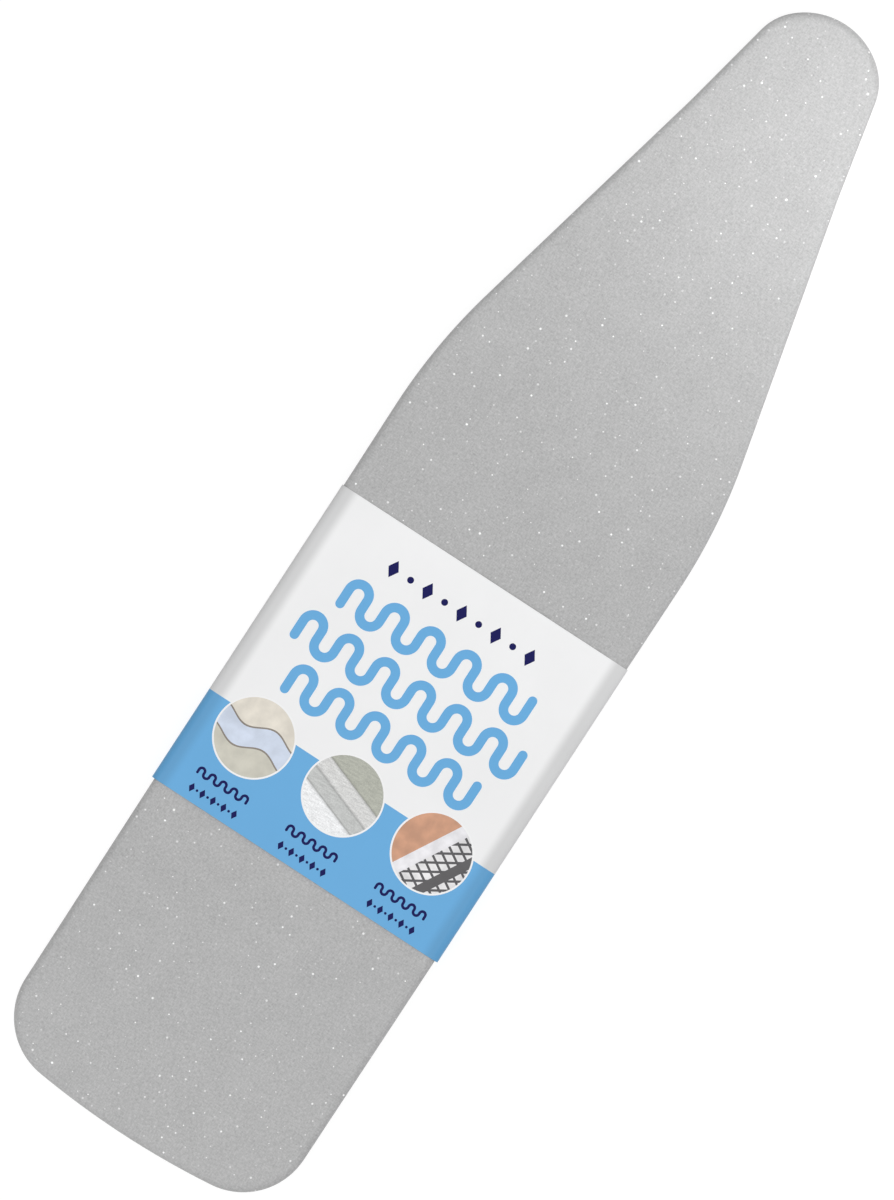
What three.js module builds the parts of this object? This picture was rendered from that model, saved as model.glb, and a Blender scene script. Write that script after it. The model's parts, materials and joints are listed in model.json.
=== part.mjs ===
// A fitted ironing board cover: a coated sheet over foam and felt, a gathered skirt that turns
// under the board to an elastic hem, three hook-and-loop straps, and a paper sleeve round it.
// Millimetres, +X to the nose, +Y to the left, +Z up from the ironing side. The origin is at the
// middle of the lowest plane, on which the sleeve rests.
import * as THREE from "three";

// Plan of the cover, seen from above. A share places a point along the length, from the tail.
const coverLength = 1371.6;
const tailBowRadius = 924;
const tailHalfWidth = 171.8;
const tailCornerRadius = 75.2;
const shoulderShare = 0.6277;
const shoulderHalfWidth = 175.8;
const shoulderRadius = 622;
const waistShare = 0.888;
const waistHalfWidth = 91.7;
const waistRadius = 610;
const noseHalfWidth = 59.6;
const noseCornerRadius = 58.5;
const noseBowRadius = 78;

// Layers of the pad, and the room that is left for the rim of the board under them.
const sheetThickness = 0.8;
const foamThickness = 3;
const feltThickness = 6;
const layerGap = 0.2;
const boardRimHeight = 22;

// The skirt, measured inwards from the side of the cover to the middle of the elastic.
const skirtTurn = 45;
const skirtBendRadius = 6;
const casingCloth = 0.6;
const casingLip = 7;
const slotClearance = 0.2;
const elasticRadius = 1.5;
const elasticClearance = 0.4;

// Straps. Each share is the middle of a strap's width, along the cover from the tail.
const tailStrapShare = 0.1385;
const middleStrapShare = 0.5614;
const noseStrapShare = 0.7655;
const strapWidth = 25;
const strapThickness = 0.9;
const strapEndRadius = 5;
const strapPull = 8;
const strapRootGap = 0.3;
const patchLength = 50;
const patchMargin = 2;
const patchThickness = 0.8;
const patchGap = 0.2;
const patchCornerRadius = 1.5;

// The paper sleeve, lapped and glued underneath. Its station is measured from the tail.
const sleeveStation = 327;
const sleeveLength = 361;
const sleeveClearance = 0.3;
const sleeveSideClearance = 0.6;
const paperThickness = 0.4;
const glueThickness = 0.2;
const glueGap = 0.1;
const lapOffset = 100;
const lapWidth = 30;
const glueWidth = 22;
const glueEndMargin = 12;

// Steps round each turn of the plan, along each straight, and round each edge.
const tailBowSteps = 2;
const tailCornerSteps = 6;
const sideSteps = 6;
const shoulderSteps = 2;
const taperSteps = 3;
const waistSteps = 1;
const noseSideSteps = 1;
const noseCornerSteps = 4;
const noseBowSteps = 3;
const edgeSteps = 3;
const bendSteps = 2;
const tunnelSteps = 6;
const elasticSides = 8;
const cornerSteps = 4;

// Gathers: where a crest lies between the bend and the hem, how full they are along a straight side,
// and how much one fold differs from the next.
const crestShare = 0.55;
const straightFullnessShare = 0.5;
const unevenShare = 0.25;

// Levels, from the lowest plane up.
const lapOuterLevel = paperThickness + 2 * glueGap + glueThickness;
const lapInnerLevel = lapOuterLevel + paperThickness;
const tunnelRadius = elasticRadius + elasticClearance;
const casingRadius = tunnelRadius + casingCloth;
const hemLevel = lapInnerLevel + sleeveClearance + casingRadius;
const feltLevel = hemLevel + casingRadius + boardRimHeight;
const edgeRadius = sheetThickness + layerGap + foamThickness + layerGap + feltThickness;
const skirtLevel = hemLevel - sheetThickness / 2;
const bendLevel = skirtLevel + skirtBendRadius;
const gatherHeight = casingRadius - sheetThickness / 2;

const halfLength = coverLength / 2;
const rowX = (station) => station - halfLength;
const rowXOfShare = (share) => rowX(share * coverLength);
const quarterTurn = Math.PI / 2;
const point = (x, y) => new THREE.Vector2(x, y);
const polar = (centre, radius, angle) =>
  point(centre.x + radius * Math.cos(angle), centre.y + radius * Math.sin(angle));

// One arc of the plan as places with their outward normals. A hollow arc bends the other way.
function planArc(centre, radius, from, to, count, hollow = false) {
  return Array.from({ length: count + 1 }, (_, k) => {
    const angle = from + ((to - from) * k) / count;
    const out = point(Math.cos(angle), Math.sin(angle)).multiplyScalar(hollow ? -1 : 1);
    return { place: polar(centre, radius, angle), out, radius };
  });
}

// The arc that rounds the corner between two straights of the plan, walked from tail to nose.
function roundedCorner(before, corner, after, radius, count) {
  const into = corner.clone().sub(before).normalize();
  const away = after.clone().sub(corner).normalize();
  const turn = Math.atan2(into.cross(away), into.dot(away));
  const side = Math.sign(turn);
  const toCentre = point(-into.y, into.x).multiplyScalar(side * radius);
  const start = corner.clone().addScaledVector(into, -radius * Math.abs(Math.tan(turn / 2)));
  const from = Math.atan2(-toCentre.y, -toCentre.x);
  return planArc(start.add(toCentre), radius, from, from + turn, count, side > 0);
}

// The end bow and the arc that joins it to a side, from the centre line outwards. The joining arc
// touches the bow from inside, and touches the side.
function roundedEnd(end, bowRadius, cornerRadius, onSide, alongSide, bowCount, cornerCount) {
  const outward = Math.sign(end);
  const bowCentre = point(end - outward * bowRadius, 0);
  const inward = point(alongSide.y, -alongSide.x);
  const offset = onSide.clone().addScaledVector(inward, cornerRadius).sub(bowCentre);
  const along = offset.dot(alongSide);
  const span = Math.sqrt(along ** 2 - offset.lengthSq() + (bowRadius - cornerRadius) ** 2);
  const centre = bowCentre.clone().add(offset).addScaledVector(alongSide, outward * span - along);
  const meeting = centre.clone().sub(bowCentre).angle();
  const sideAngle = inward.negate().angle();
  const middle = outward > 0 ? 0 : Math.PI;
  const bow = planArc(bowCentre, bowRadius, middle, meeting, bowCount);
  const corner = planArc(centre, cornerRadius, meeting, sideAngle, cornerCount);
  return [...bow, ...corner.slice(1)];
}

// Places that divide the straight from one place of the plan to the next.
function straight(from, to, count) {
  return Array.from({ length: count - 1 }, (_, k) => ({
    place: from.place.clone().lerp(to.place, (k + 1) / count),
    out: from.out.clone(),
    radius: Infinity,
  }));
}

// The whole plan, anticlockwise from the middle of the tail. Fine divides each step further.
function planRing(fine) {
  const tail = point(-halfLength, tailHalfWidth);
  const shoulder = point(rowXOfShare(shoulderShare), shoulderHalfWidth);
  const waist = point(rowXOfShare(waistShare), waistHalfWidth);
  const nose = point(halfLength, noseHalfWidth);
  const sideway = shoulder.clone().sub(tail).normalize();
  const noseway = nose.clone().sub(waist).normalize();
  const tailEnd = roundedEnd(-halfLength, tailBowRadius, tailCornerRadius, tail, sideway,
    tailBowSteps * fine, tailCornerSteps * fine);
  const shoulderArc = roundedCorner(tail, shoulder, waist, shoulderRadius, shoulderSteps * fine);
  const waistArc = roundedCorner(shoulder, waist, nose, waistRadius, waistSteps * fine);
  const noseEnd = roundedEnd(halfLength, noseBowRadius, noseCornerRadius, nose, noseway,
    noseBowSteps * fine, noseCornerSteps * fine).reverse();
  const left = [
    ...tailEnd,
    ...straight(tailEnd.at(-1), shoulderArc[0], sideSteps * fine),
    ...shoulderArc,
    ...straight(shoulderArc.at(-1), waistArc[0], taperSteps * fine),
    ...waistArc,
    ...straight(waistArc.at(-1), noseEnd[0], noseSideSteps * fine),
    ...noseEnd,
  ];
  for (const end of [left[0], left.at(-1)]) {
    end.place.y = 0;
    end.out.set(Math.sign(end.out.x), 0);
  }
  const right = left.slice(1, -1).map(({ place, out, radius }) => ({
    place: point(place.x, -place.y),
    out: point(out.x, -out.y),
    radius,
  }));
  return [left[0], ...right, left.at(-1), ...left.slice(1, -1).reverse()];
}

const plan = planRing(1);
const finePlan = planRing(2);
const inset = (ring, distance) => ring.map(({ place, out }) => place.clone().addScaledVector(out, -distance));

// The outward half width of the plan, drawn in by a distance, at one place along it.
function halfWidthAt(x, distance) {
  const ring = inset(plan, distance);
  for (let i = ring.length / 2; i < ring.length; i += 1) {
    const a = ring[i];
    const b = ring[(i + 1) % ring.length];
    if (b.x <= x && x <= a.x) return a.y + ((b.y - a.y) * (a.x - x)) / (a.x - b.x);
  }
  throw new Error("the plan has no width there");
}

// One ring of a lofted surface: the plan drawn in by a distance and held at a level. Rise, where
// it is given, lifts each place of the ring.
function ringAt(distance, level, source = plan, rise = () => 0) {
  return inset(source, distance).map((p, i) => new THREE.Vector3(p.x, p.y, level + rise(source[i], i)));
}

// Faces between one ring and the next one down the profile. One of them may have twice the places.
function stitch(upper, lower) {
  const faces = [];
  const count = Math.min(upper.length, lower.length);
  const many = [upper.length / count, lower.length / count];
  for (let i = 0; i < count; i += 1) {
    const next = (i + 1) % count;
    const [a, d] = [upper[i * many[0]], upper[next * many[0]]];
    const [b, c] = [lower[i * many[1]], lower[next * many[1]]];
    if (many[0] === many[1]) {
      faces.push([b, c, d], [b, d, a]);
    } else if (many[1] === 2) {
      const middle = lower[2 * i + 1];
      faces.push([a, b, middle], [a, middle, d], [middle, c, d]);
    } else {
      const middle = upper[2 * i + 1];
      faces.push([b, middle, a], [b, c, middle], [c, d, middle]);
    }
  }
  return faces;
}

// A flat face that closes a ring, as strips across its width.
function flatFace(ring, facesUp) {
  const faces = [];
  const half = ring.length / 2;
  for (let i = 0; i < half; i += 1) {
    const [a, b] = [ring[i], ring[i + 1]];
    const [c, d] = [ring[ring.length - i - 1], ring[(ring.length - i) % ring.length]];
    if (b !== c) faces.push([a, b, c]);
    if (d !== a) faces.push([a, c, d]);
  }
  return facesUp ? faces : faces.map(([a, b, c]) => [a, c, b]);
}

function geometryOf(faces) {
  const corners = faces.flat().flatMap((p) => [p.x, p.y, p.z]);
  const geometry = new THREE.BufferGeometry();
  geometry.setAttribute("position", new THREE.Float32BufferAttribute(corners, 3));
  geometry.computeVertexNormals();
  return geometry;
}

// Rings down an open profile, closed by a flat face at each end.
function lidded(rings) {
  const walls = rings.slice(1).flatMap((ring, i) => stitch(rings[i], ring));
  return geometryOf([...flatFace(rings[0], true), ...walls, ...flatFace(rings.at(-1), false)]);
}

// Rings round a closed profile, walked over the top towards the outside.
function hooped(rings) {
  return geometryOf(rings.flatMap((ring, i) => stitch(ring, rings[(i + 1) % rings.length])));
}

// A quarter round of the pad's edge, from the top outwards and down.
function edgeRings(radius) {
  return Array.from({ length: edgeSteps + 1 }, (_, k) => {
    const angle = quarterTurn * (k / edgeSteps);
    return ringAt(edgeRadius - radius * Math.sin(angle), feltLevel + radius * Math.cos(angle));
  });
}

// The lower bend of the sheet, from the side inwards and under.
function bendRings(radius) {
  return Array.from({ length: bendSteps + 1 }, (_, k) => {
    const angle = quarterTurn * (k / bendSteps);
    return ringAt(skirtBendRadius - radius * Math.cos(angle), bendLevel - radius * Math.sin(angle));
  });
}

// How far a fold of the skirt stands out of its plane. Cloth that is turned in round a small radius
// has the most to gather.
function gather({ radius }, i) {
  const fullness = straightFullnessShare + (1 - straightFullnessShare) * Math.min(1, skirtTurn / radius);
  const even = 1 - unevenShare * (0.5 + 0.5 * Math.sin(i * i));
  return gatherHeight * fullness * even * (i % 2 ? 1 : -1);
}

const lipInset = skirtTurn - casingRadius - casingLip;
const skirtEnd = skirtTurn - tunnelRadius - slotClearance;

// Rings of one face of the skirt, from the bend to the hem.
function skirtRings(level) {
  const bendEnd = skirtBendRadius;
  const crest = bendEnd + (lipInset - bendEnd) * crestShare;
  const slot = lipInset - slotClearance;
  return [ringAt(crest, level, finePlan, gather), ringAt(slot, level), ringAt(skirtEnd, level)];
}

function coverSheet() {
  const outside = [...edgeRings(edgeRadius), ...bendRings(skirtBendRadius), ...skirtRings(skirtLevel)];
  const inside = [
    ...edgeRings(edgeRadius - sheetThickness),
    ...bendRings(skirtBendRadius - sheetThickness),
    ...skirtRings(skirtLevel + sheetThickness),
  ];
  return lidded([...outside, ...inside.reverse()]);
}

function foamLayer() {
  const outer = edgeRadius - sheetThickness - layerGap;
  return lidded([...edgeRings(outer), ...edgeRings(outer - foamThickness).reverse()]);
}

const feltPad = () => lidded(edgeRings(feltThickness));

// The hem binding in section: two lips on the skirt's edge, joined round a tunnel.
function hemCasing() {
  const slotHalf = sheetThickness / 2 + slotClearance;
  const lipHalf = slotHalf + casingCloth;
  const turnRings = (radius, half, way) => {
    const mouth = Math.PI - Math.asin(half / radius);
    return Array.from({ length: tunnelSteps + 1 }, (_, k) => {
      const angle = way * (mouth - (2 * mouth * k) / tunnelSteps);
      return ringAt(skirtTurn + radius * Math.cos(angle), hemLevel + radius * Math.sin(angle));
    });
  };
  return hooped([
    ringAt(lipInset, hemLevel + lipHalf),
    ringAt(lipInset, hemLevel + slotHalf),
    ...turnRings(tunnelRadius, slotHalf, 1),
    ringAt(lipInset, hemLevel - slotHalf),
    ringAt(lipInset, hemLevel - lipHalf),
    ...turnRings(casingRadius, lipHalf, -1),
  ]);
}

function hemElastic() {
  return hooped(
    Array.from({ length: elasticSides }, (_, k) => {
      const angle = (2 * Math.PI * k) / elasticSides;
      return ringAt(skirtTurn - elasticRadius * Math.sin(angle), hemLevel + elasticRadius * Math.cos(angle));
    }),
  );
}

// A flat piece cut from sheet, standing on a level.
function cutPiece(shape, thickness) {
  return new THREE.ExtrudeGeometry(shape, { depth: thickness, bevelEnabled: false, curveSegments: cornerSteps });
}

// Strap levels: the strap lies lowest, then its hooks, the loops, and the tab. The four are
// centred on the hem.
const strapStack = 2 * strapThickness + 2 * patchThickness + 3 * patchGap;
const strapLevel = hemLevel - strapStack / 2;
const hookLevel = strapLevel + strapThickness + patchGap;
const loopLevel = hookLevel + patchThickness + patchGap;
const tabLevel = loopLevel + patchThickness + patchGap;

// A strap seen from above, with its root cut along the hem and its free end past the middle.
// It starts at the hem on the +Y side.
function webShape(x) {
  const half = strapWidth / 2;
  const rootInset = skirtTurn + casingRadius + strapRootGap;
  const end = -patchLength / 2 - strapPull;
  const shape = new THREE.Shape();
  shape.moveTo(-half, halfWidthAt(x - half, rootInset));
  shape.lineTo(-half, end + strapEndRadius);
  shape.absarc(strapEndRadius - half, end + strapEndRadius, strapEndRadius, Math.PI, 1.5 * Math.PI);
  shape.absarc(half - strapEndRadius, end + strapEndRadius, strapEndRadius, 1.5 * Math.PI, 2 * Math.PI);
  shape.lineTo(half, halfWidthAt(x + half, rootInset));
  shape.closePath();
  return shape;
}

function patchShape() {
  const halfWide = strapWidth / 2 - patchMargin;
  const halfLong = patchLength / 2;
  const r = patchCornerRadius;
  const shape = new THREE.Shape();
  shape.absarc(halfWide - r, halfLong - r, r, 0, Math.PI / 2);
  shape.absarc(r - halfWide, halfLong - r, r, Math.PI / 2, Math.PI);
  shape.absarc(r - halfWide, r - halfLong, r, Math.PI, 1.5 * Math.PI);
  shape.absarc(halfWide - r, r - halfLong, r, 1.5 * Math.PI, 2 * Math.PI);
  shape.closePath();
  return shape;
}

// The strap is the tab's outline turned over to the -Y side.
const turnedOver = (shape) => new THREE.Shape(shape.getPoints(cornerSteps).map((p) => point(p.x, -p.y)).reverse());

// The sleeve in section, looking from the tail: one strip from its inner lapped end, up the right
// side, over the top and down the left side to its outer lapped end.
function sleeveShape() {
  const widest = Math.max(...plan.map(({ place }) => place.y));
  const half = widest + sleeveSideClearance;
  const topRadius = edgeRadius + sleeveClearance;
  const corners = [
    { y: half - skirtBendRadius, z: lapInnerLevel + skirtBendRadius, radius: skirtBendRadius },
    { y: half - topRadius, z: feltLevel, radius: topRadius },
    { y: topRadius - half, z: feltLevel, radius: topRadius },
    { y: skirtBendRadius - half, z: paperThickness + skirtBendRadius, radius: skirtBendRadius },
  ];
  const face = (offset) => {
    const bends = corners.flatMap(({ y, z, radius }, corner) =>
      Array.from({ length: cornerSteps + 1 }, (_, k) =>
        polar(point(y, z), radius + offset, quarterTurn * (corner - 1 + k / cornerSteps))),
    );
    const innerEnd = point(lapOffset - lapWidth / 2, lapInnerLevel - offset);
    const outerEnd = point(lapOffset + lapWidth / 2, paperThickness - offset);
    return [innerEnd, ...bends, outerEnd];
  };
  return new THREE.Shape([...face(paperThickness), ...face(0).reverse()].map((p) => point(-p.x, p.y)));
}

// Local X, Y and Z of a profile drawn across the cover become row Y, Z and X.
const alongCover = new THREE.Matrix4().makeBasis(
  new THREE.Vector3(0, 1, 0), new THREE.Vector3(0, 0, 1), new THREE.Vector3(1, 0, 0),
);

const cloth = (color, roughness) => new THREE.MeshStandardMaterial({ color, roughness, metalness: 0 });
const silverSheet = new THREE.MeshStandardMaterial({ color: 0xbfc0c2, roughness: 0.55, metalness: 0.25 });

const cover = new THREE.Group();

function add(name, geometry, material, x = 0, y = 0, z = 0) {
  const mesh = new THREE.Mesh(geometry, material);
  mesh.name = name;
  mesh.position.set(x, y, z);
  cover.add(mesh);
}

add("cover_sheet", coverSheet(), silverSheet);
add("foam_layer", foamLayer(), cloth(0xe9e6dc, 0.95));
add("felt_pad", feltPad(), cloth(0xcfcfcb, 1));
add("hem_casing", hemCasing(), cloth(0xb4b5b8, 0.85));
add("hem_elastic", hemElastic(), cloth(0xf2f2ef, 0.8));

const strapPlaces = { tail: tailStrapShare, middle: middleStrapShare, nose: noseStrapShare };
for (const [place, share] of Object.entries(strapPlaces)) {
  const x = rowXOfShare(share);
  const web = webShape(x);
  const patch = patchShape();
  add(`${place}_strap_web`, cutPiece(turnedOver(web), strapThickness), cloth(0xf4f4f2, 0.8), x, 0, strapLevel);
  add(`${place}_strap_hook_patch`, cutPiece(patch, patchThickness), cloth(0xeeeeec, 0.6), x, 0, hookLevel);
  add(`${place}_tab_loop_patch`, cutPiece(patch, patchThickness), cloth(0xf6f6f4, 0.95), x, 0, loopLevel);
  add(`${place}_tab_web`, cutPiece(web, strapThickness), cloth(0xf4f4f2, 0.8), x, 0, tabLevel);
}

const sleeve = new THREE.ExtrudeGeometry(sleeveShape(), { depth: sleeveLength, bevelEnabled: false });
add("paper_sleeve", sleeve.applyMatrix4(alongCover), cloth(0xf3f4f6, 0.45), rowX(sleeveStation));

const glue = new THREE.BoxGeometry(sleeveLength - 2 * glueEndMargin, glueWidth, glueThickness);
const glueMaterial = new THREE.MeshStandardMaterial({ color: 0xe8dfb8, roughness: 0.4, metalness: 0 });
add("sleeve_glue_strip", glue, glueMaterial, rowX(sleeveStation + sleeveLength / 2), -lapOffset,
  paperThickness + glueGap + glueThickness / 2);

export default cover;
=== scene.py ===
"""A fitted ironing board cover with its paper sleeve, dressed round its packed model.

Metres, +X to the nose, +Y to the left, +Z up out of the ironing side. Every ring of cloth is the
plan of the cover, drawn in by a distance and held at a level, as on the solids that it stands for.
"""

import json
import math

import bmesh
import bpy
import numpy as np
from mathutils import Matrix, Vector


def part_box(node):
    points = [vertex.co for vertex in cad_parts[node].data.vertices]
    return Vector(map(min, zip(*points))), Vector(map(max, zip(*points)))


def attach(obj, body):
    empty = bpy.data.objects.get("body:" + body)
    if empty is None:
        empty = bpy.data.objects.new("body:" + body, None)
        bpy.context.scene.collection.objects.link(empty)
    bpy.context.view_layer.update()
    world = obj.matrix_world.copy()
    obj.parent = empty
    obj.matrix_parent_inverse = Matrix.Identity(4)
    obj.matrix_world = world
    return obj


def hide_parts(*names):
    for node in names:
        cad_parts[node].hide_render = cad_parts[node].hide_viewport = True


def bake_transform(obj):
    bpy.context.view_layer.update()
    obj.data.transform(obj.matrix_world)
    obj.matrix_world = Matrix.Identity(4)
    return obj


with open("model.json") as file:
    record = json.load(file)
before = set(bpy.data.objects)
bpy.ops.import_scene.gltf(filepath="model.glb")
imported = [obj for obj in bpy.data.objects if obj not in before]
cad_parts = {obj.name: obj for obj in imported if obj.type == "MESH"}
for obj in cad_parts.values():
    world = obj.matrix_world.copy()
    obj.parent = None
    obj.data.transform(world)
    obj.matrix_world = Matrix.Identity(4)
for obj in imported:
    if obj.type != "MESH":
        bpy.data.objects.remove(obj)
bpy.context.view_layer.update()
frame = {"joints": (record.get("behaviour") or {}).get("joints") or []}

bl_info = {
    "name": "Ironing board cover",
    "version": (1, 0, 0),
    "blender": (4, 5, 0),
    "location": "3D View > Sidebar > Board Cover",
    "description": "Padded ironing board cover with gathered hem, hook and loop straps and a paper sleeve",
    "category": "Add Mesh",
}

STRAP_PLACES = ("tail", "middle", "nose")

QUARTER = math.pi / 2
FULL = 2 * math.pi

# Places round the plan. Skirt rings have them all, rings over the edge every second one, pad rings
# every fourth. The hem casing is finer, for its ruches. A path is summed in finer steps than it gives.
RING_PLACES = 1440
CASING_PLACES = 2160
PATH_FINENESS = 24

SHEET_LOW, SHEET_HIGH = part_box("cover_sheet")
FOAM_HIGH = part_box("foam_layer")[1]
FELT_LOW, FELT_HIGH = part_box("felt_pad")
CASING_LOW, CASING_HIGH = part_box("hem_casing")
ELASTIC_LOW, ELASTIC_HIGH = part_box("hem_elastic")
SLEEVE_LOW, SLEEVE_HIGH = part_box("paper_sleeve")
GLUE_LOW, GLUE_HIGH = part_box("sleeve_glue_strip")

# The hem's level, the radii of its elastic and its casing, and how far the elastic and the casing's
# lips lie inside the plan. The skirt hangs no lower than its floor, which leaves the card its room.
CARD_ROOM = 0.0017
HEM_LEVEL = (ELASTIC_LOW.z + ELASTIC_HIGH.z) / 2
ELASTIC_RADIUS = (ELASTIC_HIGH.z - ELASTIC_LOW.z) / 2
HEM_INSET = SHEET_HIGH.x - ELASTIC_HIGH.x + ELASTIC_RADIUS
CASING_RADIUS = (CASING_HIGH.z - CASING_LOW.z) / 2
LIP_INSET = SHEET_HIGH.x - CASING_HIGH.x
SKIRT_FLOOR = GLUE_HIGH.z + CARD_ROOM


def decimal(name, default, description, **settings):
    """A property with a decimal number."""
    return bpy.props.FloatProperty(name=name, description=description, default=default, **settings)


def length(name, default, description):
    """A size property in metres."""
    return decimal(name, default, description, unit="LENGTH", precision=4)


def share(name, default, description):
    """A property from 0 to 1."""
    return decimal(name, default, description, min=0, max=1, subtype="FACTOR")


def power(name, default, description):
    """A lamp's power in watts."""
    return decimal(name, default, description, unit="POWER")


def number(name, default, description):
    """A whole number property."""
    return bpy.props.IntProperty(name=name, description=description, default=default, min=1)


def colour(name, default, description):
    """A colour property, in linear light."""
    return bpy.props.FloatVectorProperty(
        name=name, description=description, default=default, size=3, min=0, max=1, subtype="COLOR"
    )


class PlanSizes(bpy.types.PropertyGroup):
    """The outline of the cover, seen from above."""

    cover_length: length("Length", SHEET_HIGH.x - SHEET_LOW.x, "From the tail to the tip of the nose")
    tail_bow_radius: length("Tail bow radius", 0.924, "Radius of the slightly bowed tail end")
    tail_half_width: length("Tail half width", 0.1718, "Half width where the side meets the tail plane")
    tail_corner_radius: length("Tail corner radius", 0.0752, "Radius of the two corners at the tail")
    shoulder_share: share("Shoulder place", 0.6277, "Where the sides begin to taper, from the tail")
    shoulder_half_width: length("Shoulder half width", 0.1758, "Half width where the taper begins")
    shoulder_radius: length("Shoulder radius", 0.622, "Radius of the bend at the shoulder")
    waist_share: share("Waist place", 0.888, "Where the taper bends back, from the tail")
    waist_half_width: length("Waist half width", 0.0917, "Half width at that bend")
    waist_radius: length("Waist radius", 0.610, "Radius of the hollow bend")
    nose_half_width: length("Nose half width", 0.0596, "Half width where the taper meets the nose plane")
    nose_corner_radius: length("Nose corner radius", 0.0585, "Radius of the two corners of the nose")
    nose_bow_radius: length("Nose bow radius", 0.078, "Radius of the tip of the nose")


class ClothSizes(bpy.types.PropertyGroup):
    """The sheet, its gathered skirt, the hem and the pad."""

    sheet_thickness: length("Sheet thickness", 0.0006, "Thickness of the coated cotton")
    bend_radius: length("Bend radius", 0.006, "Radius where the sheet turns under")
    fold_count: number("Folds", 176, "Gathers round the skirt")
    fold_height: length("Fold height", 0.0034, "How far a gather stands up from the skirt, at most")
    fold_drop: length("Fold drop", 0.0009, "How far a gather hangs below the skirt's level")
    fold_lean: share("Fold lean", 0.75, "How far the gathers lean over along the hem")
    binding_thickness: length("Binding thickness", 0.0006, "Thickness of the hem binding")
    ruche_pitch: length("Ruche pitch", 0.0062, "Distance from one ruche of the hem casing to the next")
    ruche_height: length("Ruche height", 0.00035, "Height of a ruche")
    stitch_pitch: length("Stitch pitch", 0.0036, "Distance from one stitch to the next")
    stitch_length: length("Stitch length", 0.0025, "Length of thread that shows in one stitch")
    thread_radius: length("Thread radius", 0.0002, "Radius of the sewing thread")
    pad_wave: length("Pad unevenness", 0.00035, "How far the padded face rises and dips")


class StrapSizes(bpy.types.PropertyGroup):
    """The hook and loop straps."""

    sewn_length: length("Sewn end", 0.0115, "How far a strap's end laps over the hem casing")
    sewn_thickness: length("Sewn thickness", 0.0006, "Thickness of the tape where it is sewn down")
    end_radius: length("Strap end radius", 0.005, "Radius of the corners at the free end")
    hook_pitch: length("Hook pitch", 0.0015, "Distance from one hook to the next")
    hook_height: length("Hook height", 0.00042, "Height of a hook over its tape")
    patch_corner_radius: length("Patch corner radius", 0.0015, "Radius of the patches' corners")


class SleeveSizes(bpy.types.PropertyGroup):
    """The paper sleeve and its print."""

    card_thickness: length("Card thickness", 0.0004, "Thickness of the card")
    top_radius: length("Top bend radius", 0.0105, "Radius where the card bends over the cover's edge")
    low_radius: length("Lower bend radius", 0.006, "Radius where the card bends under")
    lap_offset: length("Lap place", 0.100, "Distance of the glued lap from the centre line")
    lap_width: length("Lap width", 0.030, "Width of the lap")
    stripe_length: length("Stripe length", 0.109, "Length of the blue stripe, from the sleeve's tail end")
    ribbon_height: length("Ribbon height", 0.044, "Height of the printed ribbons")
    ribbon_pitch: length("Ribbon pitch", 0.0222, "From one leg of a ribbon to the next")
    ribbon_stroke: length("Ribbon stroke", 0.010, "Width of the printed ribbons")
    line_height: length("Line height", 0.0108, "Height of the small printed lines")
    line_pitch: length("Line pitch", 0.0066, "From one leg of a small line to the next")
    line_stroke: length("Line stroke", 0.0028, "Width of the small printed lines")
    disc_radius: length("Disc radius", 0.0418, "Radius of a printed sample")
    rim_width: length("Rim width", 0.0019, "Width of the pale rim round a sample")
    disc_spacing: length("Disc spacing", 0.1097, "From one sample to the next, across the sleeve")
    disc_place: length("Disc place", 0.0919, "From the tail end of the sleeve to the middle of the samples")


class CoverColours(bpy.types.PropertyGroup):
    """Colours of the cloth, the straps and the print."""

    silver: colour("Silver coating", (0.410, 0.410, 0.411), "Coated face of the sheet")
    speck: colour("Glitter", (1.0, 1.0, 1.0), "Bright flakes in the coating")
    binding: colour("Binding", (0.42, 0.42, 0.43), "Hem binding")
    thread: colour("Thread", (0.62, 0.62, 0.63), "Sewing thread")
    foam: colour("Foam", (0.80, 0.78, 0.70), "Foam layer")
    felt: colour("Felt", (0.62, 0.62, 0.60), "Needled felt")
    tape: colour("Tape", (0.83, 0.83, 0.81), "Woven strap tape")
    hooks: colour("Hook tape", (0.80, 0.80, 0.78), "Moulded hooks")
    loops: colour("Loop tape", (0.86, 0.86, 0.84), "Brushed loops")
    elastic: colour("Elastic", (0.84, 0.84, 0.81), "Braided elastic")
    lining: colour("Cotton back", (0.72, 0.71, 0.68), "Uncoated face of the sheet")
    card: colour("Card", (0.875, 0.877, 0.882), "Coated card")
    card_back: colour("Card back", (0.60, 0.59, 0.56), "Uncoated back of the card")
    stripe: colour("Light blue", (0.125, 0.402, 0.722), "Light blue ink")
    navy: colour("Navy", (0.008, 0.008, 0.090), "Navy ink")
    glue: colour("Glue", (0.78, 0.72, 0.50), "Dried glue")


class StageSizes(bpy.types.PropertyGroup):
    """Camera, lamps and floor."""

    lens: decimal("Lens", 200, "Focal length", unit="CAMERA")
    frame_height: length("Frame height", 1.2413, "Height of the picture at the cover's top face")
    look_x: length("Aim along", -0.0389, "Point under the camera, along the cover")
    look_y: length("Aim across", 0.0203, "Point under the camera, across the cover")
    picture_turn: decimal("Picture turn", math.radians(-56.9), "Turn of the picture", subtype="ANGLE")
    nose_watts: power("Nose lamp", 1.34, "Power near the nose")
    overhead_watts: power("Overhead", 16.5, "Power of the wide lamp")
    side_watts: power("Side lamp", 8.3, "Power of the low side lamp")
    edge_watts: power("Edge lamp", 0.6, "Power beside the nose")
    tail_watts: power("Tail lamp", 1.6, "Power before the tail")
    under_watts: power("Under lamp", 40, "Power of the low lamp")
    sky: decimal("Sky", 0.63, "Strength of the even light", min=0)
    floor_drop: length("Floor gap", 0.0005, "Gap between the cover and the floor")


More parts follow.
